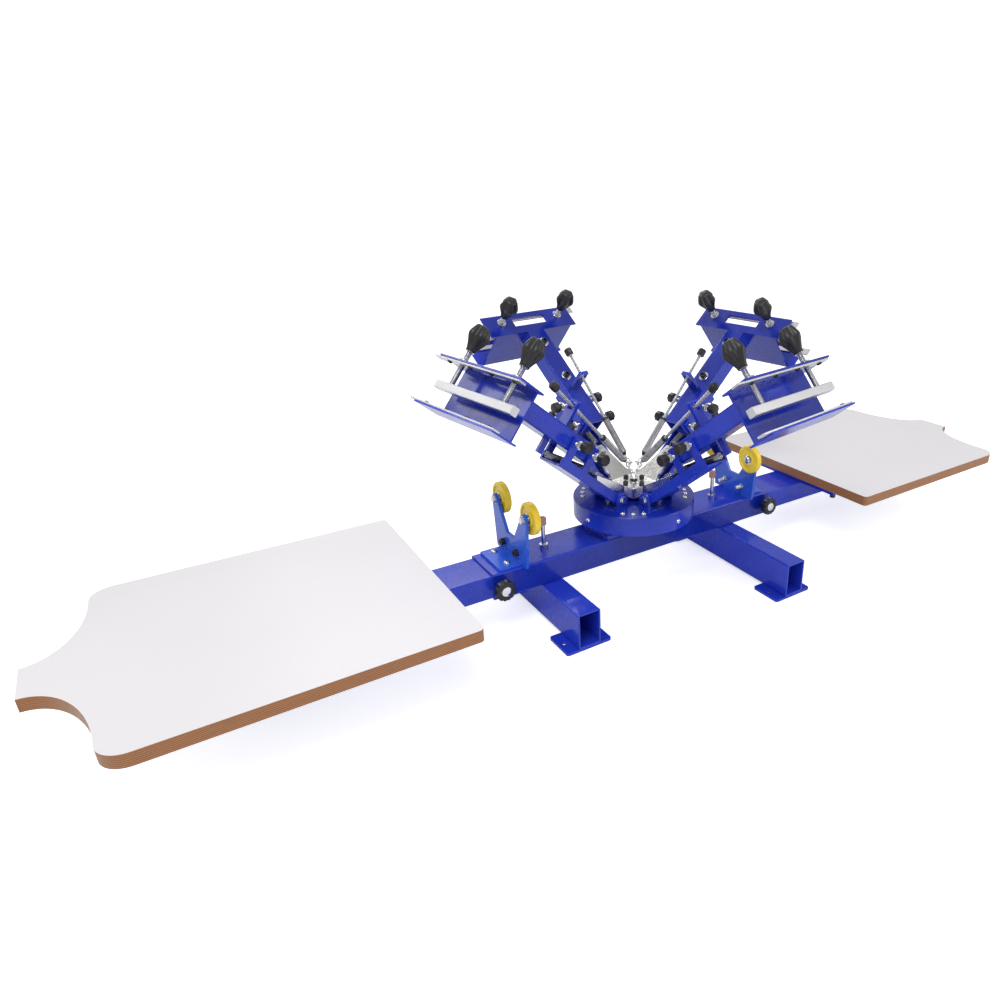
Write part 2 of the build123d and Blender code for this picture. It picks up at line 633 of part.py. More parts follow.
def cover_screw():
    """Screw head on the drum's top."""
    return post(DRUM_SCREW_CIRCLE, 0, DRUM_TOP, DRUM_TOP + DRUM_SCREW_HEAD, DRUM_SCREW_RADIUS)


def star_screw_places():
    return [(STAR_SCREW_CIRCLE, 0)]


def hinge_bracket(side):
    """One of the two upright plates that hold an arm's hinge pin."""
    y_low = BRACKET_INNER if side > 0 else -BRACKET_OUTER
    y_high = y_low + BRACKET_THICKNESS
    plate = block(PIVOT_X - CHEEK_RADIUS, PIVOT_X + CHEEK_RADIUS, y_low, y_high, DRUM_TOP, PIVOT_Z)
    plate += bar_along_y(PIVOT_X, y_low, y_high, PIVOT_Z, CHEEK_RADIUS)
    return plate - bar_along_y(PIVOT_X, y_low - 1, y_high + 1, PIVOT_Z, PIVOT_RADIUS + SCREW_GAP)


def pivot_pin():
    end = BRACKET_OUTER + PIVOT_HEAD
    pin = bar_along_y(PIVOT_X, -end, end, PIVOT_Z, PIVOT_RADIUS)
    for y in (-end, BRACKET_OUTER):
        pin += bar_along_y(PIVOT_X, y, y + PIVOT_HEAD, PIVOT_Z, PIVOT_HEAD_RADIUS)
    return pin


def star_arm_angle():
    """Slope of the star plate's arms in degrees."""
    rise = STAR_TIP_HEIGHT - STAR_BOTTOM - STAR_THICKNESS
    return degrees(atan2(rise, STAR_TIP_RADIUS - STAR_FOLD))


def star_arm_frame(distance):
    """Place on the middle of a star arm's thickness, at a distance from the axis."""
    slope = star_arm_angle()
    along = distance - STAR_FOLD
    height = STAR_BOTTOM + STAR_THICKNESS / 2 + along * tan(radians(slope))
    return Pos(distance, 0, height) * Rot(0, -slope, 0)


def star_arm_plan(inset):
    """Outline of a star arm seen from above, from the flat middle to the tip."""
    root = STAR_SQUARE / 2 - inset
    waist = STAR_WAIST_WIDTH / 2 - inset
    tip = STAR_ARM_WIDTH / 2 - inset
    return Polygon(
        (STAR_FOLD - STAR_THICKNESS, -root), (STAR_FOLD, -root), (STAR_WAIST_RADIUS, -waist),
        (STAR_TIP_RADIUS, -tip), (STAR_TIP_RADIUS, tip), (STAR_WAIST_RADIUS, waist),
        (STAR_FOLD, root), (STAR_FOLD - STAR_THICKNESS, root),
        align=None,
    )


def star_arm_side(low, high):
    """Slab as wide as the star that follows the arm's slope, between two depths below its top face."""
    top = STAR_BOTTOM + STAR_THICKNESS
    start = STAR_FOLD - STAR_THICKNESS
    outline = Polygon(
        (start, top - low), (STAR_FOLD, top - low), (STAR_TIP_RADIUS, STAR_TIP_HEIGHT - low),
        (STAR_TIP_RADIUS, STAR_TIP_HEIGHT - high), (STAR_FOLD, top - high), (start, top - high),
        align=None,
    )
    return extrude(Plane.XZ * outline, STAR_SQUARE, both=True)


def star_arm():
    """Sloping sheet with a folded edge down each side."""
    reach = STAR_TIP_HEIGHT
    solid = extrude(star_arm_plan(0), reach)
    core = extrude(star_arm_plan(STAR_FLANGE_WALL), reach)
    sheet = solid & star_arm_side(0, STAR_THICKNESS)
    edges = (solid - core) & star_arm_side(STAR_THICKNESS / 2, STAR_THICKNESS + STAR_FLANGE)
    return sheet + edges


def star_plate():
    """Dished star of bright plate: a square middle and four arms that rise to the spring anchors."""
    half = STAR_SQUARE / 2
    top = STAR_BOTTOM + STAR_THICKNESS
    plate = on_turntable(block(-half, half, -half, half, STAR_BOTTOM, top), ARM_ANGLES[0])
    for angle in ARM_ANGLES:
        hole = star_arm_frame(ANCHOR_CIRCLE) * Cylinder(ANCHOR_RADIUS + SCREW_GAP, 4 * STAR_THICKNESS)
        plate += on_turntable(star_arm() - hole, angle)
        for x, y in star_screw_places():
            hole = post(x, y, STAR_BOTTOM - 1, top + 1, STAR_SCREW_RADIUS + SCREW_GAP)
            plate -= on_turntable(hole, angle)
    return plate - post(0, 0, STAR_BOTTOM - 1, top + 1, 2 * EYE_WIRE_RADIUS + SCREW_GAP)


def star_screw(x, y):
    top = STAR_BOTTOM + STAR_THICKNESS
    screw = post(x, y, STAR_BOTTOM - STAR_SCREW_LENGTH + 1, top, STAR_SCREW_RADIUS)
    return screw + post(x, y, top, top + STAR_SCREW_HEAD, STAR_SCREW_HEAD_RADIUS)


def anchor_bolt():
    """Bolt at a star arm's tip that a lift spring hooks over."""
    frame = star_arm_frame(ANCHOR_CIRCLE)
    shank = Cylinder(ANCHOR_RADIUS, STAR_THICKNESS + 2 * ANCHOR_HEAD)
    upper = Pos(0, 0, STAR_THICKNESS / 2 + ANCHOR_HEAD / 2) * Cylinder(ANCHOR_HEAD_RADIUS, ANCHOR_HEAD)
    lower = Pos(0, 0, -STAR_THICKNESS / 2 - ANCHOR_HEAD / 2) * Cylinder(ANCHOR_HEAD_RADIUS, ANCHOR_HEAD)
    return frame * (shank + upper + lower)


def star_stud():
    """Bright stand-off between the drum and a star arm."""
    underside = star_arm_frame(STUD_CIRCLE) * Pos(0, 0, -STAR_THICKNESS / 2)
    stud = post(STUD_CIRCLE, 0, DRUM_TOP, underside.position.Z + STUD_RADIUS, STUD_RADIUS)
    reach = 4 * STUD_RADIUS
    above = underside * Pos(0, 0, reach / 2) * Box(reach, reach, reach)
    return stud - above


def turntable_fasteners():
    pieces = []
    for angle in ARM_ANGLES:
        pieces.append(on_turntable(star_stud(), angle))
        pieces.append(on_turntable(anchor_bolt(), angle))
        pieces.append(on_turntable(index_screw(), angle))
        for x, y in star_screw_places():
            pieces.append(on_turntable(star_screw(x, y), angle))
        for step in (-1, 0, 1):
            pieces.append(on_turntable(cover_screw(), angle + 45 + step * DRUM_SCREW_STEP))
    return group(pieces)


def eye_bolt():
    """Ring in the middle of the star plate that the four tension springs hook into."""
    stem_top = EYE_HEIGHT - EYE_RING_RADIUS
    stem = post(0, 0, STAR_BOTTOM, stem_top, 2 * EYE_WIRE_RADIUS)
    nut = post(0, 0, STAR_BOTTOM + STAR_THICKNESS, STAR_BOTTOM + 3 * STAR_THICKNESS, 4 * EYE_WIRE_RADIUS)
    ring = Pos(0, 0, EYE_HEIGHT) * Rot(0, 90, 0) * Torus(EYE_RING_RADIUS, EYE_WIRE_RADIUS)
    return on_turntable(stem + nut + ring, ARM_ANGLES[0] + 45)


# ---------------- print arms, drawn level ----------------

def lower_arm():
    """Open channel that swings on the hinge pin, with two pairs of ears for the cross screws."""
    half = LOWER_WIDTH / 2
    inner = half - LOWER_WALL
    shape = block(LOWER_FLOOR_START, LOWER_END, -half, half, LOWER_BOTTOM, LOWER_BOTTOM + LOWER_WALL)
    for y_low in (-half, inner):
        y_high = y_low + LOWER_WALL
        side = block(PIVOT_X, LOWER_END, y_low, y_high, LOWER_BOTTOM + LOWER_WALL, LOWER_TOP)
        lead = block(LOWER_FLOOR_START, LOWER_END, y_low, y_high, LOWER_BOTTOM, LOWER_TOP)
        cheek = bar_along_y(PIVOT_X, y_low, y_high, PIVOT_Z, CHEEK_RADIUS)
        shape += side + lead + cheek
        for x in (REAR_SCREW_X, FRONT_SCREW_X):
            ear_low = x - EAR_WIDTH / 2
            ear_high = min(x + EAR_WIDTH / 2, LOWER_END)
            shape += block(ear_low, ear_high, y_low, y_high, LOWER_TOP, EAR_TOP)
    shape -= bar_along_y(PIVOT_X, -half - 1, half + 1, PIVOT_Z, PIVOT_RADIUS + RUNNING_GAP)
    for x in (REAR_SCREW_X, FRONT_SCREW_X):
        shape -= bar_along_y(x, -half - 1, half + 1, UPPER_MIDDLE, CROSS_SCREW_RADIUS + RUNNING_GAP)
    return shape


def stay_guide():
    """Loop on top of the upper arm that the tension rod passes through."""
    outer = STAY_GUIDE_SLOT + 2 * STAY_GUIDE_RIM
    x_low = STAY_GUIDE_X - STAY_GUIDE_THICKNESS / 2
    x_high = STAY_GUIDE_X + STAY_GUIDE_THICKNESS / 2
    top = STAY_GUIDE_Z + outer / 2
    plate = block(x_low, x_high, -outer / 2, outer / 2, UPPER_TOP, top)
    plate = fillet(plate.edges().filter_by(Axis.X).group_by(Axis.Z)[-1], STAY_GUIDE_RIM)
    slot = block(
        x_low - 1, x_high + 1, -STAY_GUIDE_SLOT / 2, STAY_GUIDE_SLOT / 2,
        STAY_GUIDE_Z - STAY_GUIDE_SLOT / 2, STAY_GUIDE_Z + STAY_GUIDE_SLOT / 2,
    )
    return plate - slot


def clamp_channel():
    """Channel across the arm's end, open outwards, that takes the edge of a screen frame."""
    half = CLAMP_WIDTH / 2
    outer_x = CLAMP_X + CLAMP_DEPTH
    web = CLAMP_WEB_WIDTH / 2
    shape = block(CLAMP_X, CLAMP_X + CLAMP_WALL, -web, web, CLAMP_BOTTOM, CLAMP_TOP)
    shape += block(CLAMP_X, outer_x, -half, half, CLAMP_TOP - CLAMP_WALL, CLAMP_TOP)
    shape += block(CLAMP_X, outer_x, -half, half, CLAMP_BOTTOM, CLAMP_BOTTOM + CLAMP_WALL)
    shape -= block(
        CLAMP_SCREW_X - CLAMP_WINDOW_WIDTH / 2, CLAMP_SCREW_X + CLAMP_WINDOW_WIDTH / 2,
        -CLAMP_WINDOW_LENGTH / 2, CLAMP_WINDOW_LENGTH / 2, CLAMP_TOP - 2 * CLAMP_WALL, CLAMP_TOP + 1,
    )
    for y in clamp_screw_places():
        shape += post(CLAMP_SCREW_X, y, CLAMP_TOP, CLAMP_TOP + CLAMP_COLLAR_HEIGHT, CLAMP_COLLAR_RADIUS)
        shape -= post(
            CLAMP_SCREW_X, y, CLAMP_TOP - 2 * CLAMP_WALL, CLAMP_TOP + 2 * CLAMP_COLLAR_HEIGHT,
            CLAMP_SCREW_RADIUS + RUNNING_GAP,
        )
    return shape


def clamp_screw_places():
    return (-CLAMP_SCREW_SPACING / 2, CLAMP_SCREW_SPACING / 2)


def upper_arm():
    half = UPPER_WIDTH / 2
    tube = block(UPPER_START, CLAMP_X, -half, half, UPPER_BOTTOM, UPPER_TOP)
    tube = fillet(tube.edges().filter_by(Axis.X), UPPER_WALL)
    tube -= block(
        UPPER_START, CLAMP_X, -half + UPPER_WALL, half - UPPER_WALL,
        UPPER_BOTTOM + UPPER_WALL, UPPER_TOP - UPPER_WALL,
    )
    for x in (REAR_SCREW_X, FRONT_SCREW_X):
        tube -= bar_along_y(x, -half - 1, half + 1, UPPER_MIDDLE, CROSS_SCREW_RADIUS + RUNNING_GAP)
    lug = block(
        SPRING_LUG_X - SPRING_LUG_LENGTH / 2, SPRING_LUG_X + SPRING_LUG_LENGTH / 2,
        -SPRING_LUG_WIDTH / 2, SPRING_LUG_WIDTH / 2, SPRING_LUG_BOTTOM, UPPER_BOTTOM,
    )
    return tube + lug + stay_guide() + clamp_channel()


def clamp_bar():
    """Square bar that the T screws press down on the screen frame."""
    half = BAR_SIZE / 2
    bar = block(
        CLAMP_SCREW_X - half, CLAMP_SCREW_X + half, -BAR_LENGTH / 2, BAR_LENGTH / 2, BAR_BOTTOM, BAR_TOP
    )
    bar = chamfer(bar.edges().filter_by(Axis.Y), 1.0)
    for y in clamp_screw_places():
        socket_radius = CLAMP_SCREW_RADIUS + RUNNING_GAP
        bar -= post(CLAMP_SCREW_X, y, BAR_TOP - BAR_SOCKET_DEPTH, BAR_TOP + 1, socket_radius)
    return bar


def t_screw(y):
    """Clamp screw with a knob on top that is narrow at the foot and widest at its shoulder."""
    shoulder = T_KNOB_BOTTOM + T_KNOB_HEIGHT * T_KNOB_SHOULDER
    top = T_KNOB_BOTTOM + T_KNOB_HEIGHT
    foot = Cone(T_KNOB_FOOT_RADIUS, T_KNOB_RADIUS, shoulder - T_KNOB_BOTTOM)
    crown = Cone(T_KNOB_RADIUS, T_KNOB_TOP_RADIUS, top - shoulder)
    knob = Pos(0, 0, (T_KNOB_BOTTOM + shoulder) / 2) * foot + Pos(0, 0, (shoulder + top) / 2) * crown
    rod_bottom = BAR_TOP - BAR_SOCKET_DEPTH + FACE_GAP / 2
    rod = post(0, 0, rod_bottom, T_KNOB_BOTTOM + T_KNOB_FOOT_RADIUS, CLAMP_SCREW_RADIUS)
    return Pos(CLAMP_SCREW_X, y, 0) * (knob + rod)


def cross_screw(x):
    """Threaded rod across the arm with a knob at each end; turning it shifts the upper arm."""
    knob_start = LOWER_WIDTH / 2 + SIDE_KNOB_STANDOFF
    knob_end = knob_start + SIDE_KNOB_LENGTH
    screw = bar_along_y(x, -knob_start - 1, knob_start + 1, UPPER_MIDDLE, CROSS_SCREW_RADIUS)
    for low, high in ((-knob_end, -knob_start), (knob_start, knob_end)):
        knob = bar_along_y(x, low, high, UPPER_MIDDLE, SIDE_KNOB_RADIUS)
        screw += fillet(knob.edges().filter_by(GeomType.CIRCLE), SIDE_KNOB_RADIUS / 4)
    return screw


# ---------------- springs, drawn along +X and placed by their two ends ----------------

def level_from_lifted(x, z):
    """Where a point of the lifted position lies in the level drawing of the arm."""
    turn = radians(ARM_LIFT)
    dx = x - PIVOT_X
    dz = z - PIVOT_Z
    return PIVOT_X + dx * cos(turn) + dz * sin(turn), PIVOT_Z - dx * sin(turn) + dz * cos(turn)


def lift_spring():
    """Closed outer shape of the coil spring from the star arm's tip to the lug under the upper arm."""
    slope = radians(star_arm_angle())
    rise = (ANCHOR_CIRCLE - STAR_FOLD) * tan(slope)
    standoff = STAR_THICKNESS / 2 + SPRING_WIRE + HOOK_CLEARANCE
    anchor_x = ANCHOR_CIRCLE - standoff * sin(slope)
    anchor_z = STAR_BOTTOM + STAR_THICKNESS / 2 + rise + standoff * cos(slope)
    start_x, start_z = level_from_lifted(anchor_x, anchor_z)
    end_x = SPRING_LUG_X - SPRING_LUG_LENGTH / 2
    end_z = SPRING_HOOK_Z
    length = hypot(end_x - start_x, end_z - start_z)
    tilt = degrees(atan2(end_z - start_z, end_x - start_x))
    coil_length = length - SPRING_START - SPRING_STOP
    coil = bar_along_x(SPRING_START, SPRING_START + coil_length, 0, 0, SPRING_RADIUS)
    hooks = bar_along_x(HOOK_STANDOFF, length - FACE_GAP, 0, 0, SPRING_WIRE)
    return Pos(start_x, 0, start_z) * Rot(0, -tilt, 0) * (coil + hooks)


def stay_angle():
    """Slope of the tension rod in the lifted position, from its hook to the guide loop."""
    turn = radians(ARM_LIFT)
    dx = STAY_GUIDE_X - PIVOT_X
    dz = STAY_GUIDE_Z - PIVOT_Z
    guide_x = PIVOT_X + dx * cos(turn) - dz * sin(turn)
    guide_z = PIVOT_Z + dx * sin(turn) + dz * cos(turn)
    return degrees(atan2(guide_z - STAY_PIVOT_Z, guide_x - STAY_PIVOT_R))


def stay_rod(angle):
    """Tension spring hooked to the eye bolt, its threaded rod and the knob on its end."""
    hook = bar_along_y(0, -STAY_EYE_RADIUS, STAY_EYE_RADIUS, 0, STAY_EYE_RADIUS)
    spring_end = STAY_SPRING_START + STAY_SPRING_LENGTH
    spring = bar_along_x(STAY_SPRING_START, spring_end, 0, 0, STAY_SPRING_RADIUS)
    spring = fillet(spring.edges().filter_by(GeomType.CIRCLE), STAY_SPRING_RADIUS / 3)
    rod = bar_along_x(0, STAY_KNOB_START + 2, 0, 0, STAY_ROD_RADIUS)
    knob = bar_along_x(STAY_KNOB_START, STAY_KNOB_START + STAY_KNOB_LENGTH, 0, 0, STAY_KNOB_RADIUS)
    knob = fillet(knob.edges().filter_by(GeomType.CIRCLE), STAY_KNOB_RADIUS / 4)
    shape = hook + spring + rod + knob
    placed = Pos(STAY_PIVOT_R, 0, STAY_PIVOT_Z) * Rot(0, -stay_angle(), 0) * shape
    return on_turntable(placed, angle)


# ---------------- write every node ----------------

save("beam", beam())
save("legs", legs())
save("gate_plates", group([gate_plate(side) for side in STATIONS.values()]))
save("base_fasteners", base_fasteners())
save("height_stops", group([height_stop(side) for side in STATIONS.values()]))
for station, side in STATIONS.items():
    save(f"platen_arm_{station}", platen_arm(side))
    save(f"platen_{station}", platen(side))
    save(f"platen_screws_{station}", platen_screws(side))
    save(f"lock_knob_{station}", lock_knob(side))
    for place, y in (("front", -ROLLER_SPACING / 2), ("back", ROLLER_SPACING / 2)):
        save(f"gate_roller_{station}_{place}", gate_roller(side, y))
save("hub_base", hub_base())
save("hub_bearings", hub_bearings())
save("turntable_drum", turntable_drum())
save("pivot_pins", group([on_turntable(pivot_pin(), angle) for angle in ARM_ANGLES]))
save("star_plate", star_plate())
save("turntable_fasteners", turntable_fasteners())
save("eye_bolt", eye_bolt())
for number, angle in enumerate(ARM_ANGLES, start=1):
    save(f"lower_arm_{number}", lifted(lower_arm(), angle))
    save(f"upper_arm_{number}", lifted(upper_arm(), angle))
    save(f"clamp_bar_{number}", lifted(clamp_bar(), angle))
    save(f"clamp_screw_{number}_a", lifted(t_screw(clamp_screw_places()[0]), angle))
    save(f"clamp_screw_{number}_b", lifted(t_screw(clamp_screw_places()[1]), angle))
    save(f"cross_screw_{number}_rear", lifted(cross_screw(REAR_SCREW_X), angle))
    save(f"cross_screw_{number}_front", lifted(cross_screw(FRONT_SCREW_X), angle))
    save(f"lift_spring_{number}", lifted(lift_spring(), angle))
    save(f"tension_rod_{number}", stay_rod(angle))
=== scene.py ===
from math import atan2, cos, hypot, pi, radians, sin, tan

import bmesh
import bpy
from mathutils import Matrix, Vector


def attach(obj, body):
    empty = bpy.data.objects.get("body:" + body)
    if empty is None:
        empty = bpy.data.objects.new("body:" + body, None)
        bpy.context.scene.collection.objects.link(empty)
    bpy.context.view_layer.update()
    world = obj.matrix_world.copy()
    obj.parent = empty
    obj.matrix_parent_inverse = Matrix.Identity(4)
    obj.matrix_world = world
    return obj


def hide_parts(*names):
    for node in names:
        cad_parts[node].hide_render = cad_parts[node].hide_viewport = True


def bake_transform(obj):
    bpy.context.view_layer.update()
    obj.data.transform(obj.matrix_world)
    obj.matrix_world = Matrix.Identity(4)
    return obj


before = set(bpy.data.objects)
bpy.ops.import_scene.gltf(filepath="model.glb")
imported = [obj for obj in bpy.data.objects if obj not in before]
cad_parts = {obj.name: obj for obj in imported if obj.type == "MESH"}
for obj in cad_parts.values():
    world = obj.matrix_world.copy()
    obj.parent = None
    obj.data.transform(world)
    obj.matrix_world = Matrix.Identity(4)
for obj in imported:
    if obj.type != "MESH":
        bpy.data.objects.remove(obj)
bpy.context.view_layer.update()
MM = 0.001

# ---- sizes of the press that the pieces below are built on, in millimetres ----
TURNTABLE_ANGLE = 9.3
ARM_LIFT = 40.0
PIVOT_X = 62.0
PIVOT_Z = 197.0
ARMS = (1, 2, 3, 4)
SIDES = {"left": -1, "right": 1}


# ---------------- places ----------------

def arm_matrix(number, lift=ARM_LIFT):
    """From a level print arm that points along +X, in mm, to its place in the frame, in metres."""
    to_place = Matrix.Rotation(radians(TURNTABLE_ANGLE + 90 * (number - 1)), 4, "Z")
    to_pivot = Matrix.Translation((PIVOT_X, 0, PIVOT_Z))
    raise_arm = Matrix.Rotation(radians(-lift), 4, "Y")
    return Matrix.Scale(MM, 4) @ to_place @ to_pivot @ raise_arm @ to_pivot.inverted()


def hub_matrix(angle):
    """From the turntable's own drawing, in mm, to the frame, in metres."""
    return Matrix.Scale(MM, 4) @ Matrix.Rotation(radians(angle), 4, "Z")


WORLD = Matrix.Scale(MM, 4)


# ---------------- node materials ----------------

class Shader:
    """Small helper that adds nodes to one material and links them."""

    def __init__(self, name):
        self.material = bpy.data.materials.new(name)
        self.material.use_nodes = True
        self.tree = self.material.node_tree
        self.tree.nodes.clear()
        self.output = self.add("ShaderNodeOutputMaterial")

    def add(self, kind, **values):
        node = self.tree.nodes.new(kind)
        for key, value in values.items():
            if hasattr(node, key):
                setattr(node, key, value)
            else:
                node.inputs[key.replace("_", " ")].default_value = value
        return node

    def link(self, source, target):
        self.tree.links.new(source, target)

    def local(self):
        """Coordinates that move with the piece, in metres."""
        return self.add("ShaderNodeTexCoord").outputs["Object"]

    def noise(self, scale, detail=3.0, stretch=None):
        source = self.local()
        if stretch:
            mapping = self.add("ShaderNodeMapping")
            mapping.inputs["Scale"].default_value = stretch
            self.link(source, mapping.inputs["Vector"])
            source = mapping.outputs["Vector"]
        node = self.add("ShaderNodeTexNoise", Scale=scale, Detail=detail)
        self.link(source, node.inputs["Vector"])
        return node.outputs["Fac"]

    def ramp(self, source, low, high, start=0.35, end=0.65):
        node = self.add("ShaderNodeValToRGB")
        node.color_ramp.elements[0].position = start
        node.color_ramp.elements[1].position = end
        node.color_ramp.elements[0].color = (*low, 1)
        node.color_ramp.elements[1].color = (*high, 1)
        self.link(source, node.inputs["Fac"])
        return node.outputs["Color"]

    def span(self, source, low, high, start=0.3, end=0.7):
        node = self.add("ShaderNodeMapRange")
        node.inputs["From Min"].default_value = start
        node.inputs["From Max"].default_value = end
        node.inputs["To Min"].default_value = low
        node.inputs["To Max"].default_value = high
        self.link(source, node.inputs["Value"])
        return node.outputs["Result"]

    def mix(self, factor, first, second):
        node = self.add("ShaderNodeMix", data_type="RGBA")
        colour_inputs = [s for s in node.inputs if s.type == "RGBA"]
        self.link(factor, node.inputs[0])
        for socket, value in zip(colour_inputs, (first, second)):
            if isinstance(value, tuple):
                socket.default_value = (*value, 1)
            else:
                self.link(value, socket)
        return [s for s in node.outputs if s.type == "RGBA"][0]

    def bump(self, height, strength, distance, soft_edge=0.0):
        """Surface relief. soft_edge rounds the edges of the shape by that radius in metres."""
        node = self.add("ShaderNodeBump", Strength=strength, Distance=distance)
        self.link(height, node.inputs["Height"])
        if soft_edge:
            rounded = self.add("ShaderNodeBevel", samples=4)
            rounded.inputs["Radius"].default_value = soft_edge
            self.link(rounded.outputs["Normal"], node.inputs["Normal"])
        return node.outputs["Normal"]

    def math(self, operation, first, second=None):
        node = self.add("ShaderNodeMath", operation=operation)
        for socket, value in zip(node.inputs, (first, second)):
            if isinstance(value, (int, float)):
                socket.default_value = value
            elif value is not None:
                self.link(value, socket)
        return node.outputs["Value"]

    def surface(self, colour, roughness, normal=None, **values):
        """Principled surface. Colour and roughness are numbers or sockets."""
        node = self.add("ShaderNodeBsdfPrincipled")
        for name, value in (("Base Color", colour), ("Roughness", roughness)):
            if isinstance(value, tuple):
                node.inputs[name].default_value = (*value, 1)
            elif isinstance(value, (int, float)):
                node.inputs[name].default_value = value
            else:
                self.link(value, node.inputs[name])
        for name, value in values.items():
            node.inputs[name.replace("_", " ")].default_value = value
        if normal:
            self.link(normal, node.inputs["Normal"])
        return node.outputs["BSDF"]

    def finish(self, shader):
        self.link(shader, self.output.inputs["Surface"])
        return self.material


SOFT_EDGE = 0.0009            # radius, in metres, that the edges of painted parts seem to have
# strength of the painted highlight along proud edges
EDGE_HIGHLIGHT = 0.35


def edge_highlight(shader):
    """Painted highlight: a lighter blue where an edge stands proud, as if the edge caught the
    light.
    """
    node = shader.add("ShaderNodeNewGeometry")
    return shader.span(node.outputs["Pointiness"], 0.0, EDGE_HIGHLIGHT, 0.52, 0.62)


def paint(name, dark, light):
    """Thick glossy powder coat with a faint orange peel."""
    shader = Shader(name)
    colour = shader.ramp(shader.noise(9.0, 2.0), dark, light)
    # painted highlight: proud edges get a lighter blue of the same hue
    edge_lit = shader.mix(edge_highlight(shader), colour, tuple(min(1.0, 2.2 * c + 0.02) for c in light))
    roughness = shader.span(shader.noise(60.0, 4.0), 0.16, 0.30)
    normal = shader.bump(shader.noise(420.0, 2.0), 0.10, 0.0005, SOFT_EDGE)
    return shader.finish(shader.surface(
        edge_lit, roughness, normal, Specular_IOR_Level=0.3, Coat_Weight=0.35, Coat_Roughness=0.08,
    ))


def metal(name, colour, roughness, brushed=None, contrast=0.12):
    """Plated, polished or brushed metal. brushed is the stretch of the grain."""
    shader = Shader(name)
    grain = shader.noise(260.0, 4.0, brushed) if brushed else shader.noise(120.0, 3.0)
    dark = tuple(c * (1 - contrast) for c in colour)
    tone = shader.ramp(grain, dark, colour)
    rough = shader.span(grain, roughness * 0.8, roughness * 1.25)
    normal = shader.bump(grain, 0.10 if brushed else 0.04, 0.0003, SOFT_EDGE / 2)
    return shader.finish(shader.surface(tone, rough, normal, Metallic=1.0))


def plastic(name, dark, light, roughness, grain=700.0, depth=0.15):
    """Moulded plastic with a fine spark-eroded grain."""
    shader = Shader(name)
    colour = shader.ramp(shader.noise(30.0, 3.0), dark, light)
    rough = shader.span(shader.noise(90.0, 3.0), roughness * 0.85, roughness * 1.15)
    normal = shader.bump(shader.noise(grain, 2.0), depth, 0.0004)
    return shader.finish(shader.surface(colour, rough, normal))


PLY_PAIR = 0.0028             # thickness of a dark and a light ply together, in metres


def board(name):
    """Pale laminate on both faces of a plywood board with a clear-varnished edge."""
    shader = Shader(name)
    geometry = shader.add("ShaderNodeTexCoord")
    facing = shader.add("ShaderNodeSeparateXYZ")
    shader.link(geometry.outputs["Normal"], facing.inputs["Vector"])
    is_face = shader.span(shader.math("ABSOLUTE", facing.outputs["Z"]), 0.0, 1.0, 0.55, 0.75)
    split = shader.add("ShaderNodeSeparateXYZ")
    shader.link(geometry.outputs["Object"], split.inputs["Vector"])
    plies = shader.math("SINE", shader.math("MULTIPLY", split.outputs["Z"], 2 * pi / PLY_PAIR))
    grain = shader.noise(35.0, 6.0, (1.0, 1.0, 22.0))
    ply_tone = shader.mix(
        shader.span(plies, 0.0, 1.0, -0.4, 0.4), (0.22, 0.085, 0.030), (0.46, 0.21, 0.085)
    )
    edge = shader.mix(shader.span(grain, 0.0, 0.6), ply_tone, (0.36, 0.15, 0.055))
    laminate = shader.ramp(
        shader.noise(3.0, 3.0), (0.755, 0.735, 0.755), (0.795, 0.775, 0.795), 0.2, 0.8
    )
    colour = shader.mix(is_face, edge, laminate)
    rough = shader.span(shader.noise(180.0, 4.0), 0.32, 0.46)
    normal = shader.bump(shader.noise(900.0, 2.0), 0.05, 0.0003)
    return shader.finish(shader.surface(colour, rough, normal))


def zoned(name, below, above, matrix, axis, edge, both_ends=False):
    """Two finishes in one piece, split where the drawing's coordinate passes edge, in mm."""
    shader = Shader(name)
    row = matrix.inverted()[axis]
    dot = shader.add("ShaderNodeVectorMath", operation="DOT_PRODUCT")
    shader.link(shader.local(), dot.inputs[0])
    dot.inputs[1].default_value = (row[0], row[1], row[2])
    along = shader.math("ADD", dot.outputs["Value"], row[3])
    if both_ends:
        along = shader.math("ABSOLUTE", along)
    switch = shader.math("GREATER_THAN", along, edge)
    mixer = shader.add("ShaderNodeMixShader")
    shader.link(switch, mixer.inputs["Fac"])
    shader.link(below(shader), mixer.inputs[1])
    shader.link(above(shader), mixer.inputs[2])
    return shader.finish(mixer.outputs["Shader"])


def zone_steel(shader):
    tone = shader.ramp(shader.noise(120.0, 3.0), (0.55, 0.55, 0.57), (0.72, 0.72, 0.74))
    return shader.surface(tone, shader.span(shader.noise(80.0), 0.16, 0.28), Metallic=1.0)


def zone_black(shader):
    tone = shader.ramp(shader.noise(40.0, 3.0), (0.010, 0.010, 0.012), (0.022, 0.022, 0.025))
    normal = shader.bump(shader.noise(650.0, 2.0), 0.12, 0.0004)
    return shader.surface(tone, shader.span(shader.noise(70.0), 0.30, 0.46), normal)


def zone_rubber(shader):
    tone = shader.ramp(shader.noise(60.0, 3.0), (0.36, 0.17, 0.13), (0.52, 0.29, 0.24))
    normal = shader.bump(shader.noise(300.0, 3.0), 0.25, 0.0006)
    return shader.surface(tone, 0.72, normal)


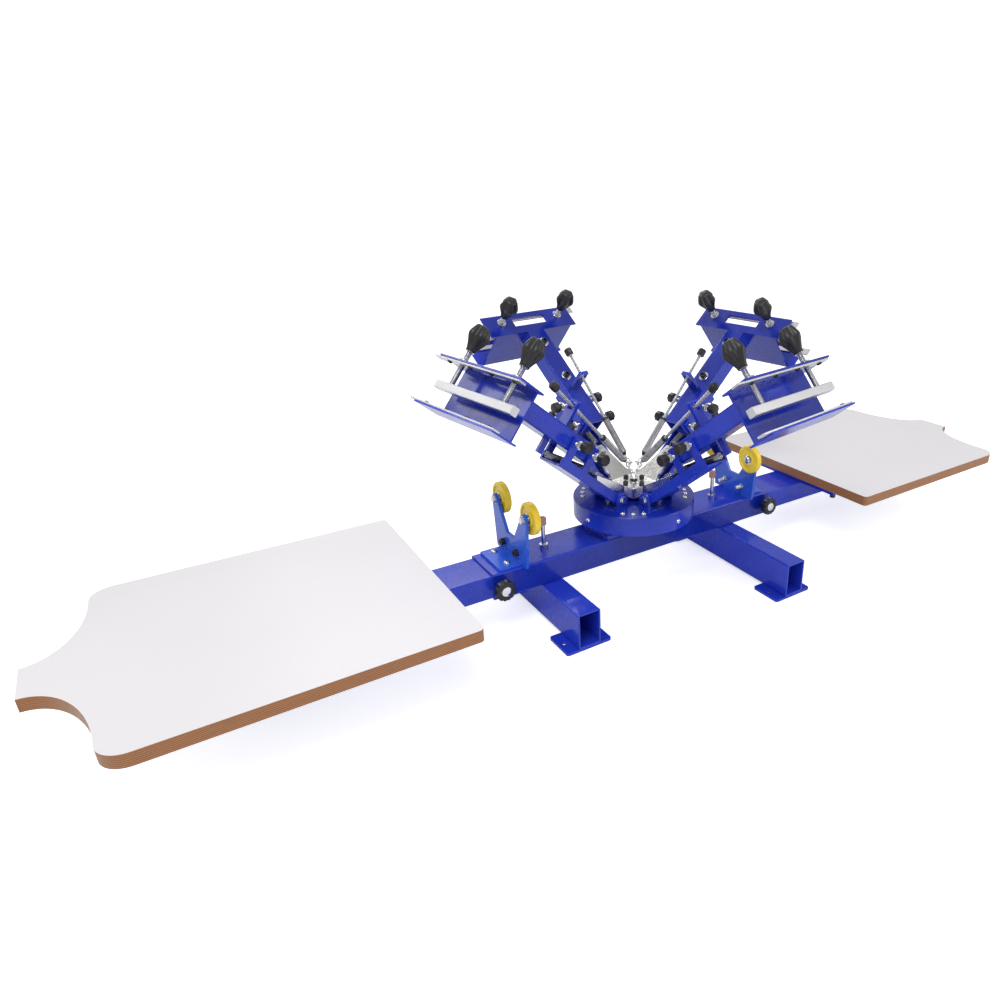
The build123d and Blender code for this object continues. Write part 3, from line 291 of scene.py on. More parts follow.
BLUE = paint("blue_powder_coat", (0.005, 0.018, 0.29), (0.009, 0.032, 0.42))
GATE_BLUE = paint("bright_blue_powder_coat", (0.008, 0.06, 0.50), (0.015, 0.09, 0.66))
ZINC = metal("bright_zinc", (0.78, 0.79, 0.81), 0.16)
CHROME = metal("polished_chrome", (0.86, 0.87, 0.88), 0.07, contrast=0.04)
STAINLESS = metal("stainless_sheet", (0.78, 0.77, 0.75), 0.20, contrast=0.06)
ALUMINIUM = metal("satin_aluminium", (0.76, 0.76, 0.78), 0.36, brushed=(1.0, 12.0, 12.0))
SPRING = metal("spring_wire", (0.42, 0.42, 0.43), 0.30)
STAY_STEEL = metal("tension_spring_wire", (0.55, 0.55, 0.56), 0.32)
THREAD = metal("threaded_rod", (0.62, 0.62, 0.63), 0.26)
BLACK = plastic("black_plastic", (0.010, 0.010, 0.012), (0.022, 0.022, 0.025), 0.38)
YELLOW = plastic("yellow_polyurethane", (0.90, 0.62, 0.02), (1.0, 0.76, 0.05), 0.30, 260.0, 0.06)
BOARD = board("laminated_board")


def dress(node, material):
    """Gives a CAD node its finish through the object's own material slots."""
    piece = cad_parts[node]
    for slot in piece.material_slots:
        slot.link = "OBJECT"
        slot.material = material
    if not piece.material_slots:
        piece.data.materials.append(None)
        piece.material_slots[0].link = "OBJECT"
        piece.material_slots[0].material = material


UP, ACROSS = 2, 1            # axes of the drawing that a two-finish piece is split along
STOP_CAP_BOTTOM = 169.5
KNOB_EDGE = 271.9
SIDE_KNOB_EDGE = 43.8


def dress_frame():
    """Finishes for every CAD node, also for those that a finer piece stands for."""
    plain = {
        "beam": BLUE, "legs": BLUE, "hub_base": BLUE, "turntable_drum": BLUE,
        "gate_plates": GATE_BLUE, "base_fasteners": ZINC, "turntable_fasteners": ZINC,
        "pivot_pins": ZINC, "hub_bearings": ZINC, "eye_bolt": ZINC, "star_plate": STAINLESS,
    }
    for side in SIDES:
        plain[f"platen_arm_{side}"] = BLUE
        plain[f"platen_{side}"] = BOARD
        plain[f"platen_screws_{side}"] = BLACK
        plain[f"lock_knob_{side}"] = BLACK
        plain[f"gate_roller_{side}_front"] = YELLOW
        plain[f"gate_roller_{side}_back"] = YELLOW
    for number in ARMS:
        plain[f"lower_arm_{number}"] = BLUE
        plain[f"upper_arm_{number}"] = BLUE
        plain[f"clamp_bar_{number}"] = ALUMINIUM
        plain[f"lift_spring_{number}"] = SPRING
        plain[f"tension_rod_{number}"] = SPRING
    for node, material in plain.items():
        dress(node, material)
    cap = zoned("stop_screw_and_cap", zone_steel, zone_rubber, WORLD, UP, STOP_CAP_BOTTOM)
    dress("height_stops", cap)
    for number in ARMS:
        place = arm_matrix(number)
        screw = zoned(f"clamp_screw_finish_{number}", zone_steel, zone_black, place, UP, KNOB_EDGE)
        dress(f"clamp_screw_{number}_a", screw)
        dress(f"clamp_screw_{number}_b", screw)
        cross = zoned(
            f"cross_screw_finish_{number}", zone_steel, zone_black, place, ACROSS, SIDE_KNOB_EDGE,
            both_ends=True,
        )
        dress(f"cross_screw_{number}_rear", cross)
        dress(f"cross_screw_{number}_front", cross)


# ---------------- mesh building ----------------

SMOOTH_LIMIT = 32.0           # degrees between two faces up to which an edge is shaded smooth
BOX_BEVEL = 0.5


class Build:
    """Collects lathed and loose shapes, each with its own finish, into one object."""

    def __init__(self, name, finishes):
        self.name = name
        self.finishes = finishes
        self.vertices = []
        self.faces = []
        self.indices = []

    def put(self, matrix, vertices, faces, finish=0):
        start = len(self.vertices)
        self.vertices.extend(matrix @ Vector(v) for v in vertices)
        self.faces.extend(tuple(start + i for i in face) for face in faces)
        self.indices.extend([finish] * len(faces))

    def lathe(self, matrix, profile, finish=0, sides=40, flutes=0, depth=0.0, turn=0.0):
        """Spins (height, radius) points about the local Z axis. Flutes scoop the widest part."""
        widest = max(radius for _, radius in profile)
        rings = []
        vertices = []
        for height, radius in profile:
            if radius == 0:
                rings.append([len(vertices)])
                vertices.append((0, 0, height))
                continue
            ring = []
            for step in range(sides):
                angle = 2 * pi * step / sides + turn
                share = (radius / widest) ** 4
                scoop = depth * share * (0.5 - 0.5 * cos(flutes * angle)) if flutes else 0
                reach = radius - scoop
                ring.append(len(vertices))
                vertices.append((reach * cos(angle), reach * sin(angle), height))
            rings.append(ring)
        faces = []
        for low, high in zip(rings, rings[1:]):
            for step in range(sides):
                after = (step + 1) % sides
                if len(low) == 1:
                    faces.append((low[0], high[after], high[step]))
                elif len(high) == 1:
                    faces.append((low[step], low[after], high[0]))
                else:
                    faces.append((low[step], low[after], high[after], high[step]))
        self.put(matrix, vertices, faces, finish)

    def sweep(self, matrix, points, radius, finish=0, sides=8, closed=False):
        """Round wire along points."""
        points = [Vector(p) for p in points]
        count = len(points)
        vertices = []
        normal = None
        for index, point in enumerate(points):
            before = points[index - 1] if index or closed else point
            after = points[(index + 1) % count] if index + 1 < count or closed else point
            tangent = (after - before).normalized()
            if normal is None:
                normal = tangent.orthogonal().normalized()
            normal = (normal - tangent * normal.dot(tangent)).normalized()
            side = tangent.cross(normal)
            for step in range(sides):
                angle = 2 * pi * step / sides
                vertices.append(point + radius * (cos(angle) * normal + sin(angle) * side))
        faces = []
        for index in range(count if closed else count - 1):
            low = index * sides
            high = ((index + 1) % count) * sides
            for step in range(sides):
                after = (step + 1) % sides
                faces.append((low + step, low + after, high + after, high + step))
        if not closed:
            faces.append(tuple(reversed(range(sides))))
            faces.append(tuple(range((count - 1) * sides, count * sides)))
        self.put(matrix, vertices, faces, finish)

    def make(self, body, stands_for=()):
        mesh = bpy.data.meshes.new(self.name)
        mesh.from_pydata([tuple(v) for v in self.vertices], [], self.faces)
        for finish in self.finishes:
            mesh.materials.append(finish)
        mesh.polygons.foreach_set("material_index", self.indices)
        edit = bmesh.new()
        edit.from_mesh(mesh)
        bmesh.ops.recalc_face_normals(edit, faces=edit.faces)
        for edge in edit.edges:
            soft = len(edge.link_faces) == 2 and edge.calc_face_angle(0) < radians(SMOOTH_LIMIT)
            edge.smooth = soft
        edit.to_mesh(mesh)
        edit.free()
        mesh.polygons.foreach_set("use_smooth", [True] * len(mesh.polygons))
        thing = bpy.data.objects.new(self.name, mesh)
        bpy.context.scene.collection.objects.link(thing)
        if body:
            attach(thing, body)
        if stands_for:
            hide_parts(*stands_for)
        return thing


def box_between(build, matrix, low, high):
    """Block between two corners with its long edges, along Y, bevelled."""
    bevel = BOX_BEVEL
    corners = []
    for y in (low[1], high[1]):
        corners += [
            (low[0] + bevel, y, low[2]), (high[0] - bevel, y, low[2]),
            (high[0], y, low[2] + bevel), (high[0], y, high[2] - bevel),
            (high[0] - bevel, y, high[2]), (low[0] + bevel, y, high[2]),
            (low[0], y, high[2] - bevel), (low[0], y, low[2] + bevel),
        ]
    faces = [tuple(reversed(range(8))), tuple(range(8, 16))]
    faces += [(i, (i + 1) % 8, 8 + (i + 1) % 8, 8 + i) for i in range(8)]
    build.put(matrix, corners, faces)


def at(matrix, point, direction):
    """Local Z along direction at a point of the drawing."""
    turn = Vector(direction).to_track_quat("Z", "Y").to_matrix().to_4x4()
    return matrix @ Matrix.Translation(point) @ turn


def arc(centre, radius, start, end, steps):
    """(height, radius) profile points round a corner. Angles in degrees, 0 outwards and 90 up."""
    return [
        (centre[0] + radius * sin(radians(start + (end - start) * i / steps)),
         centre[1] + radius * cos(radians(start + (end - start) * i / steps)))
        for i in range(steps + 1)
    ]


def button_head(build, place, radius, height, finish=0, socket=0.45):
    """Domed screw head with a hexagon socket."""
    rim = radius * socket
    turns = [t * pi / 12 for t in range(1, 7)]
    dome = [(height * sin(turn), rim + (radius - rim) * cos(turn)) for turn in turns]
    build.lathe(place, [(0, 0), (0, radius)] + dome, finish, 32)
    well = [(height, rim * 1.02), (height * 0.35, rim * 0.95), (height * 0.35, 0)]
    build.lathe(place, well, finish, 6)


def cap_head(build, place, radius, height, finish=0):
    """Straight-sided screw head with a bevelled rim and a hexagon socket."""
    bevel = radius * 0.12
    rim = radius * 0.55
    side = [(0, 0), (0, radius), (height - bevel, radius), (height, radius - bevel), (height, rim)]
    build.lathe(place, side, finish, 32)
    well = [(height, rim * 1.02), (height * 0.4, rim * 0.95), (height * 0.4, 0)]
    build.lathe(place, well, finish, 6)


def threaded(build, place, start, end, radius, finish=0, pitch=1.5, sides=20):
    """Rod whose ridges follow one another along its length, with bevelled ends."""
    root = radius * 0.86
    ridges = max(1, round((end - start) / pitch))
    step = (end - start) / ridges
    profile = [(start, 0), (start, root)]
    for index in range(ridges):
        profile += [(start + (index + 0.5) * step, radius), (start + (index + 1) * step, root)]
    build.lathe(place, profile + [(end, 0)], finish, sides)


def hex_head(build, place, radius, height, finish=0, turn=0.0):
    """Hexagon bolt head or nut with a chamfered crown over a washer face."""
    washer = radius * 1.12
    face = [(0, 0), (0, washer), (height * 0.14, washer), (height * 0.16, radius * 0.9)]
    build.lathe(place, face, finish, 32)
    crown = [
        (height * 0.14, 0), (height * 0.14, radius), (height * 0.84, radius),
        (height, radius * 0.86), (height, 0),
    ]
    build.lathe(place, crown, finish, 6, turn=turn)


# ---------------- knobs ----------------

LOCK_X = 312.0
BEAM_MIDDLE = 98.0
BEAM_FRONT = -45.0
LOCK_BOSS = 7.0
LOCK_STEM = 3.0
LOCK_LENGTH = 14.0
LOCK_RADIUS = 19.0


def lock_knobs():
    """Fluted black hand wheels with a bright screw end in the middle."""
    for name, side in SIDES.items():
        build = Build(f"lock_wheel_{name}", [BLACK, CHROME])
        place = at(WORLD, (side * LOCK_X, BEAM_FRONT - LOCK_BOSS, BEAM_MIDDLE), (0, -1, 0))
        top = LOCK_STEM + LOCK_LENGTH
        edge = LOCK_RADIUS
        profile = [(LOCK_STEM, 0), (LOCK_STEM, edge * 0.62)]
        profile += arc((LOCK_STEM + 3, edge - 3), 3, -90, 0, 5)
        profile += arc((top - 4, edge - 4), 4, 0, 90, 6)
        profile += [(top, 11.0), (top - 1.6, 10.2), (top - 1.6, 9.2)]
        build.lathe(place, profile, 0, 84, flutes=14, depth=1.5)
        build.lathe(place, [(-12, 0), (-12, 5), (LOCK_STEM + 1, 5)], 1, 24)
        cup = [(top - 1.6, 9.3), (top - 0.2, 8.6)] + [
            (top - 0.2 + 0.1 * step, 8.6 * (1 - step / 6) ** 0.5) for step in range(1, 7)
        ]
        build.lathe(place, cup, 1, 32)
        build.make(f"lock_knob_{name}", (f"lock_knob_{name}",))


COLLAR_TOP = 256.0
COLLAR_SKIN = (9.3, 5.4)      # outer and inner radius of the plated sleeve round a collar
KNOB_BOTTOM = 272.0
KNOB_HEIGHT = 46.0
KNOB_SHAPE = (      # share of the height, radius of the ribs, depth of the grooves between them
    (0.00, 7.6, 0.0), (0.03, 8.4, 0.0), (0.10, 8.8, 0.4), (0.24, 11.6, 1.6), (0.40, 15.2, 3.4),
    (0.52, 18.0, 4.8), (0.60, 18.8, 5.2), (0.68, 18.2, 5.0), (0.80, 16.0, 4.0), (0.91, 13.6, 2.8),
    (0.97, 12.2, 1.8), (1.00, 9.6, 0.8),
)
KNOB_RIBS = 5


def prong_knob(build, matrix, x, y):
    """Moulded knob with deep grooves, narrow at the foot and widest below the crown."""
    sides = 60
    vertices = []
    faces = []
    for share, radius, groove in KNOB_SHAPE:
        for step in range(sides):
            angle = 2 * pi * step / sides
            dip = (0.5 - 0.5 * cos(KNOB_RIBS * angle)) ** 1.4
            reach = radius - groove * dip
            height = KNOB_BOTTOM + KNOB_HEIGHT * share
            vertices.append((x + reach * cos(angle), y + reach * sin(angle), height))
    for ring in range(len(KNOB_SHAPE) - 1):
        for step in range(sides):
            after = (step + 1) % sides
            low, high = ring * sides, (ring + 1) * sides
            faces.append((low + step, low + after, high + after, high + step))
    faces.append(tuple(reversed(range(sides))))
    faces.append(tuple(range((len(KNOB_SHAPE) - 1) * sides, len(KNOB_SHAPE) * sides)))
    build.put(matrix, vertices, faces, 0)


CLAMP_SCREW_X = 432.0
CLAMP_SCREW_Y = 71.0
BAR_TOP = 212.0
SOCKET_DEPTH = 7.5            # how far the rod goes into the bar
ROD_RADIUS = 4.85
FOOT_RING = 7.2               # radius of the metal ring under a knob
CLAMP_TOP = 250.0


def clamp_screws():
    """Grooved knobs on threaded rods."""
    for number in ARMS:
        matrix = arm_matrix(number)
        for end, y in (("a", -CLAMP_SCREW_Y), ("b", CLAMP_SCREW_Y)):
            build = Build(f"clamp_knob_{number}_{end}", [BLACK, THREAD, ZINC])
            prong_knob(build, matrix, CLAMP_SCREW_X, y)
            foot = matrix @ Matrix.Translation((CLAMP_SCREW_X, y, 0))
            low, high = BAR_TOP - SOCKET_DEPTH, KNOB_BOTTOM + 1
            threaded(build, foot, low, high, ROD_RADIUS, 1, pitch=1.75)
            rim = KNOB_BOTTOM - 0.5
            build.lathe(foot, [(rim, 5), (rim, FOOT_RING), (KNOB_BOTTOM, FOOT_RING)], 2, 24)
            body = f"clamp_screw_{number}_{end}"
            build.make(body, (body,))


FENCE_EDGE = 453.0            # distance of the strips' outer edges along the level arm
FENCE_DEPTH = 15.0
FENCE_THICKNESS = 3.2
FENCE_SPAN = (-124.0, 104.0)
FENCE_LINES = {165.1: 1, 243.7: -1}      # lower face of each strip, the way its screws point
FENCE_SCREWS = (-86.0, -28.0, 28.0, 86.0)
FENCE_HEAD = (4.4, 2.6)       # radius and height, as in every name that ends in HEAD or NUT
LOCK_SCREWS = (282.0, 372.0)  # places of the washers and screws along the top of the arm
LOCK_HEAD = (6.2, 6.5)
LOCK_WASHER = 1.6
UPPER_TOP = 250.0


def head_details():
    """Bright strips along the mouth of the clamp, collar sleeves and screws on top of the arm."""
    for number in ARMS:
        matrix = arm_matrix(number)
        build = Build(f"head_trim_{number}", [ALUMINIUM, BLACK, ZINC])
        for low, inwards in FENCE_LINES.items():
            inner = low + FENCE_THICKNESS if inwards > 0 else low
            box_between(
                build, matrix, (FENCE_EDGE - FENCE_DEPTH, FENCE_SPAN[0], low),
                (FENCE_EDGE, FENCE_SPAN[1], low + FENCE_THICKNESS),
            )
            for y in FENCE_SCREWS:
                place = at(matrix, (FENCE_EDGE - FENCE_DEPTH / 2, y, inner), (0, 0, inwards))
                button_head(build, place, *FENCE_HEAD, 1)
        outer, inner = COLLAR_SKIN
        for y in (-CLAMP_SCREW_Y, CLAMP_SCREW_Y):
            sleeve = matrix @ Matrix.Translation((CLAMP_SCREW_X, y, 0))
            low, high = CLAMP_TOP + 0.1, COLLAR_TOP + 0.3
            shell = [(low, outer), (high - 0.8, outer), (high, outer - 0.8), (high, inner)]
            build.lathe(sleeve, shell, 2, 32)
        for x in LOCK_SCREWS:
            place = at(matrix, (x, 0, UPPER_TOP), (0, 0, 1))
            washer = [(0, 0), (0, 10.0), (1.2, 10.0), (LOCK_WASHER, 9.4), (LOCK_WASHER, 0)]
            build.lathe(place, washer, 2, 36)
            screw = at(matrix, (x, 0, UPPER_TOP + LOCK_WASHER), (0, 0, 1))
            cap_head(build, screw, *LOCK_HEAD, 1)
        build.make(f"head_{number}")


SCREW_HEIGHT = 233.0
SIDE_KNOB_START = 44.0
SIDE_KNOB_LENGTH = 18.0
SIDE_KNOB_RADIUS = 11.0
CROSS_ROD_RADIUS = 3.85
CROSS_NUT = (7.2, 4.5)
CROSS_SCREWS = {"rear": 177.0, "front": 226.0}


def cross_screws():
    """Rods across the arm with a fluted knob at each end and a lock nut inside each knob."""
    for number in ARMS:
        matrix = arm_matrix(number)
        for where, x in CROSS_SCREWS.items():
            build = Build(f"side_knobs_{number}_{where}", [BLACK, THREAD, ZINC])
            rod = at(matrix, (x, 0, SCREW_HEIGHT), (0, 1, 0))
            reach = SIDE_KNOB_START + 1
            threaded(build, rod, -reach, reach, CROSS_ROD_RADIUS, 1, pitch=1.6)
            for side in (-1, 1):
                knob = at(matrix, (x, side * SIDE_KNOB_START, SCREW_HEIGHT), (0, side, 0))
                edge = SIDE_KNOB_RADIUS
                top = SIDE_KNOB_LENGTH
                profile = [(0, 0), (0, 6.5), (2.5, 7.0), (4.0, edge - 1.5)]
                profile += arc((6, edge - 1.5), 1.5, -60, 0, 3)
                profile += arc((top - 4, edge - 4), 4, 0, 80, 5) + [(top, 0)]
                build.lathe(knob, profile, 0, 48, flutes=8, depth=1.3)
                nut = at(matrix, (x, side * (SIDE_KNOB_START - 7), SCREW_HEIGHT), (0, side, 0))
                hex_head(build, nut, *CROSS_NUT, 2)
            body = f"cross_screw_{number}_{where}"
            build.make(body, (body,))


# ---------------- springs and tension rods ----------------

SPRING_RADIUS = 6.0
SPRING_WIRE = 0.9
SPRING_PITCH = 2.4
SPRING_LEAD = 22.0
SPRING_TAIL = 12.0
SPRING_HOOK = (262.0, 192.0)      # level arm, distance and height
ANCHOR_REST = (89.8, 245.70)      # lifted arm, distance and height
HOOK_LOOP = 7.8


def level_from_lifted(distance, height):
    """A point of the lifted drawing as it lies in the level arm's own drawing."""
    turn = radians(ARM_LIFT)
    dx = distance - PIVOT_X
    dz = height - PIVOT_Z
    return PIVOT_X + dx * cos(turn) + dz * sin(turn), PIVOT_Z - dx * sin(turn) + dz * cos(turn)


def coil_points(start, length, radius, pitch, steps=14):
    """Points of a coil that runs along local X."""
    turns = max(1, round(length / pitch))
    total = turns * steps
    angles = [2 * pi * i / steps for i in range(total + 1)]
    return [
        (start + length * i / total, radius * cos(angle), radius * sin(angle))
        for i, angle in enumerate(angles)
    ]


def lift_springs():
    """Open coil springs with a loop at the star plate, stretched to the upper arm."""
    anchor = level_from_lifted(*ANCHOR_REST)
    length = hypot(SPRING_HOOK[0] - anchor[0], SPRING_HOOK[1] - anchor[1])
    tilt = atan2(SPRING_HOOK[1] - anchor[1], SPRING_HOOK[0] - anchor[0])
    radius = SPRING_RADIUS - SPRING_WIRE
    for number in ARMS:
        matrix = arm_matrix(number)
        hook = matrix @ Matrix.Translation((anchor[0], 0, anchor[1]))
        line = hook @ Matrix.Rotation(-tilt, 4, "Y")
        build = Build(f"lift_coil_{number}", [SPRING])
        coil_end = length - SPRING_TAIL
        middle = coil_points(SPRING_LEAD, coil_end - SPRING_LEAD, radius, SPRING_PITCH)
        lead = [
            (HOOK_LOOP + 2 + (SPRING_LEAD - HOOK_LOOP - 2) * i / 5, radius * i / 5, 0)
            for i in range(5)
        ]
        tail = [
            (coil_end + (length - 1 - coil_end) * i / 5, radius * (1 - i / 5), 0)
            for i in range(1, 6)
        ]
        build.sweep(line, lead + middle + tail, SPRING_WIRE, 0, 6)
        loop = [
            (HOOK_LOOP * cos(2 * pi * i / 24) + 1, HOOK_LOOP * sin(2 * pi * i / 24), 0)
            for i in range(24)
        ]
        build.sweep(line, loop, SPRING_WIRE, 0, 6, closed=True)
        coil = build.make(None, (f"lift_spring_{number}",))
        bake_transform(coil)


STAY_PIVOT = (16.0, 246.0)
STAY_GUIDE = (250.0, 288.0)
STAY_SPRING_START = 12.0
STAY_SPRING_LENGTH = 84.0
STAY_SPRING_RADIUS = 6.5
STAY_SPRING_WIRE = 1.1
STAY_SPRING_PITCH = 2.3
STAY_HOOK_RADIUS = 4.2
STAY_HOOK_WIRE = 1.2
STAY_ROD_RADIUS = 3.0
STAY_KNOB_START = 243.0
STAY_KNOB_LENGTH = 14.0
STAY_KNOB_RADIUS = 8.0


def stay_angle():
    """Slope of a tension rod from its hook at the eye to its guide on the lifted arm."""
    turn = radians(ARM_LIFT)
    dx = STAY_GUIDE[0] - PIVOT_X
    dz = STAY_GUIDE[1] - PIVOT_Z
    guide_x = PIVOT_X + dx * cos(turn) - dz * sin(turn)
    guide_z = PIVOT_Z + dx * sin(turn) + dz * cos(turn)
    return atan2(guide_z - STAY_PIVOT[1], guide_x - STAY_PIVOT[0])


def tension_rods():
    """Closed-wound springs hooked to the eye, each with a threaded rod and an end knob."""
    for number in ARMS:
        turntable = hub_matrix(TURNTABLE_ANGLE + 90 * (number - 1))
        place = turntable @ Matrix.Translation((STAY_PIVOT[0], 0, STAY_PIVOT[1]))
        line = place @ Matrix.Rotation(-stay_angle(), 4, "Y")
        build = Build(f"tension_spring_{number}", [STAY_STEEL, THREAD, BLACK])
        end = STAY_SPRING_START + STAY_SPRING_LENGTH
        radius = STAY_SPRING_RADIUS - STAY_SPRING_WIRE
        length = STAY_SPRING_LENGTH - 10
        points = coil_points(STAY_SPRING_START + 6, length, radius, STAY_SPRING_PITCH)
        build.sweep(line, points, STAY_SPRING_WIRE, 0, 6)
        along = at(line, (0, 0, 0), (1, 0, 0))
        start = STAY_SPRING_START
        build.lathe(along, [(start, 0), (start, 3.0), (start + 6, 5.2)], 2, 24)
        build.lathe(along, [(start + 5, 0), (start + 5, 4.2), (end - 4, 4.2)], 0, 20)
        collar = [(end - 5, 4), (end - 5, 6.5), (end - 1, 6.5), (end, 5.5), (end, 0)]
        build.lathe(along, collar, 2, 24)
        top = STAY_KNOB_START + 2
        threaded(build, along, end - 1, top, STAY_ROD_RADIUS, 1, pitch=1.6, sides=16)
        knob_end = STAY_KNOB_START + STAY_KNOB_LENGTH
        knob = [(STAY_KNOB_START, 0), (STAY_KNOB_START, STAY_KNOB_RADIUS - 1)]
        knob += arc((STAY_KNOB_START + 1, STAY_KNOB_RADIUS - 1), 1, -90, 0, 3)
        knob += arc((knob_end - 3, STAY_KNOB_RADIUS - 3), 3, 0, 80, 5) + [(knob_end, 0)]
        build.lathe(along, knob, 2, 36, flutes=9, depth=0.9)
        hook = [
            (STAY_HOOK_RADIUS * cos(radians(a)), 0, STAY_HOOK_RADIUS * sin(radians(a)))
            for a in range(-150, 151, 20)
        ]
        build.sweep(line, hook, STAY_HOOK_WIRE, 0, 8)
        build.sweep(line, [(3.4, 0, 0), (STAY_SPRING_START + 1, 0, 0)], STAY_HOOK_WIRE, 0, 8)
        build.make(f"tension_rod_{number}", (f"tension_rod_{number}",))


# ---------------- rollers ----------------

ROLLER_X = 253.0
ROLLER_Y = 55.0
ROLLER_HEIGHT = 216.0
ROLLER_RADIUS = 29.0
ROLLER_HALF = 6.0


def rollers():
    """Yellow wheels with a dished web and a steel bearing in the middle."""
    for name, side in SIDES.items():
        for where, y in (("front", -ROLLER_Y), ("back", ROLLER_Y)):
            build = Build(f"wheel_{name}_{where}", [YELLOW, CHROME])
            place = at(WORLD, (side * ROLLER_X, y, ROLLER_HEIGHT), (1, 0, 0))
            half, edge = ROLLER_HALF, ROLLER_RADIUS
            outer = arc((half - 2.5, edge - 2.5), 2.5, 90, 0, 6)
            outer += arc((-half + 2.5, edge - 2.5), 2.5, 0, -90, 6)
            web = half - 1.8
            ring = [(half, 12.5), (web, 13.5), (web, 22.0), (half, 23.0)]
            profile = [(half, 10.0)] + ring + outer
            profile += [(-h, r) for h, r in reversed(ring)] + [(-half, 10.0), (half, 10.0)]
            build.lathe(place, profile, 0, 64)
            race = half - 0.4
            shield = race - 0.7
            bearing = [
                (race, 5.2), (race, 7.2), (shield, 7.4), (shield, 8.6), (race, 8.8), (race, 10.1),
            ]
            back = [(-h, r) for h, r in reversed(bearing)]
            build.lathe(place, bearing + back + [bearing[0]], 1, 40)
            body = f"gate_roller_{name}_{where}"
            build.make(body, (body,))


# ---------------- bolts of the base ----------------

HUB_PLATE_TOP = 131.0
HUB_BOLTS = (80.0, 30.0)
HUB_WASHER = 1.3
HUB_HEAD = (7.2, 5.7)
GATE_FACE = 262.0
GATE_BACK = 268.0
GATE_FLANGE_TOP = 128.0
GATE_BOLT_X = 289.0
GATE_BOLT_Y = 26.0
GATE_SCREW_HEIGHT = 143.0
GATE_HEAD = (6.5, 8.0)
GATE_NUT = (5.7, 4.0)
FLANGE_HEAD = (6.4, 4.0)
AXLE_INNER = 246.0
AXLE_RADIUS = 4.9
AXLE_HEAD = (8.0, 4.8)
AXLE_NUT = (7.0, 4.8)


def base_hardware():
    """Hub bolts, roller axles with locking nuts, gate adjusters with jam nuts and gate bolts."""
    build = Build("base_hardware", [ZINC, BLACK, THREAD])
    for sx in (-1, 1):
        for sy in (-1, 1):
            x, y = sx * HUB_BOLTS[0], sy * HUB_BOLTS[1]
            place = at(WORLD, (x, y, HUB_PLATE_TOP), (0, 0, 1))
            build.lathe(place, [(0, 5), (0, 8.5), (HUB_WASHER, 8.5), (1.4, 5)], 0, 36)
            bolt = at(WORLD, (x, y, HUB_PLATE_TOP + HUB_WASHER), (0, 0, 1))
            cap_head(build, bolt, *HUB_HEAD)
    for side in SIDES.values():
        out = (side, 0, 0)
        inwards = (-side, 0, 0)
        for y in (-ROLLER_Y, ROLLER_Y):
            axle = at(WORLD, (side * AXLE_INNER, y, ROLLER_HEIGHT), out)
            reach = GATE_BACK - AXLE_INNER + 1
            build.lathe(axle, [(-1, 0), (-1, AXLE_RADIUS), (reach, AXLE_RADIUS)], 2, 24)
            head = at(WORLD, (side * AXLE_INNER, y, ROLLER_HEIGHT), inwards)
            button_head(build, head, *AXLE_HEAD)
            hex_head(build, at(WORLD, (side * GATE_BACK, y, ROLLER_HEIGHT), out), *AXLE_NUT)
        for y in (-GATE_BOLT_Y, GATE_BOLT_Y):
            head = at(WORLD, (side * GATE_BACK, y, GATE_SCREW_HEIGHT), out)
            cap_head(build, head, *GATE_HEAD, 1)
            shank = at(WORLD, (side * GATE_FACE, y, GATE_SCREW_HEIGHT), inwards)
            hex_head(build, shank, *GATE_NUT)
            threaded(build, shank, -7, 16, 4, 2, pitch=1.25)
            bolt = at(WORLD, (side * GATE_BOLT_X, y, GATE_FLANGE_TOP), (0, 0, 1))
            button_head(build, bolt, *FLANGE_HEAD)
    build.make("base", ("base_fasteners",))


# ---------------- bolts of the turntable ----------------

DRUM_TOP = 182.0
DRUM_SIDE = 118.0
STAR_BOTTOM = 204.0
STAR_THICKNESS = 4.0
STAR_FOLD = 30.0
STAR_TIP = (106.0, 252.0)
STAR_SCREW_CIRCLE = 21.8
STAR_SCREW_HEAD = (5.0, 5.0)
STUD_CIRCLE = 46.0
ANCHOR_CIRCLE = 92.0
ANCHOR_HEAD = (5.7, 5.8)
COVER_CIRCLE = 100.0
COVER_STEP = 11.0
SMALL_HEAD = (4.5, 3.5)
INDEX_HEIGHT = 162.0


def star_slope():
    """Slope of the star plate's arms outside their fold."""
    return atan2(STAR_TIP[1] - STAR_BOTTOM - STAR_THICKNESS, STAR_TIP[0] - STAR_FOLD)


def star_place(matrix, distance):
    """On the middle of a star arm's thickness, with local Z square to the sheet."""
    height = STAR_BOTTOM + STAR_THICKNESS / 2 + (distance - STAR_FOLD) * tan(star_slope())
    place = matrix @ Matrix.Translation((distance, 0, height))
    return place @ Matrix.Rotation(-star_slope(), 4, "Y")


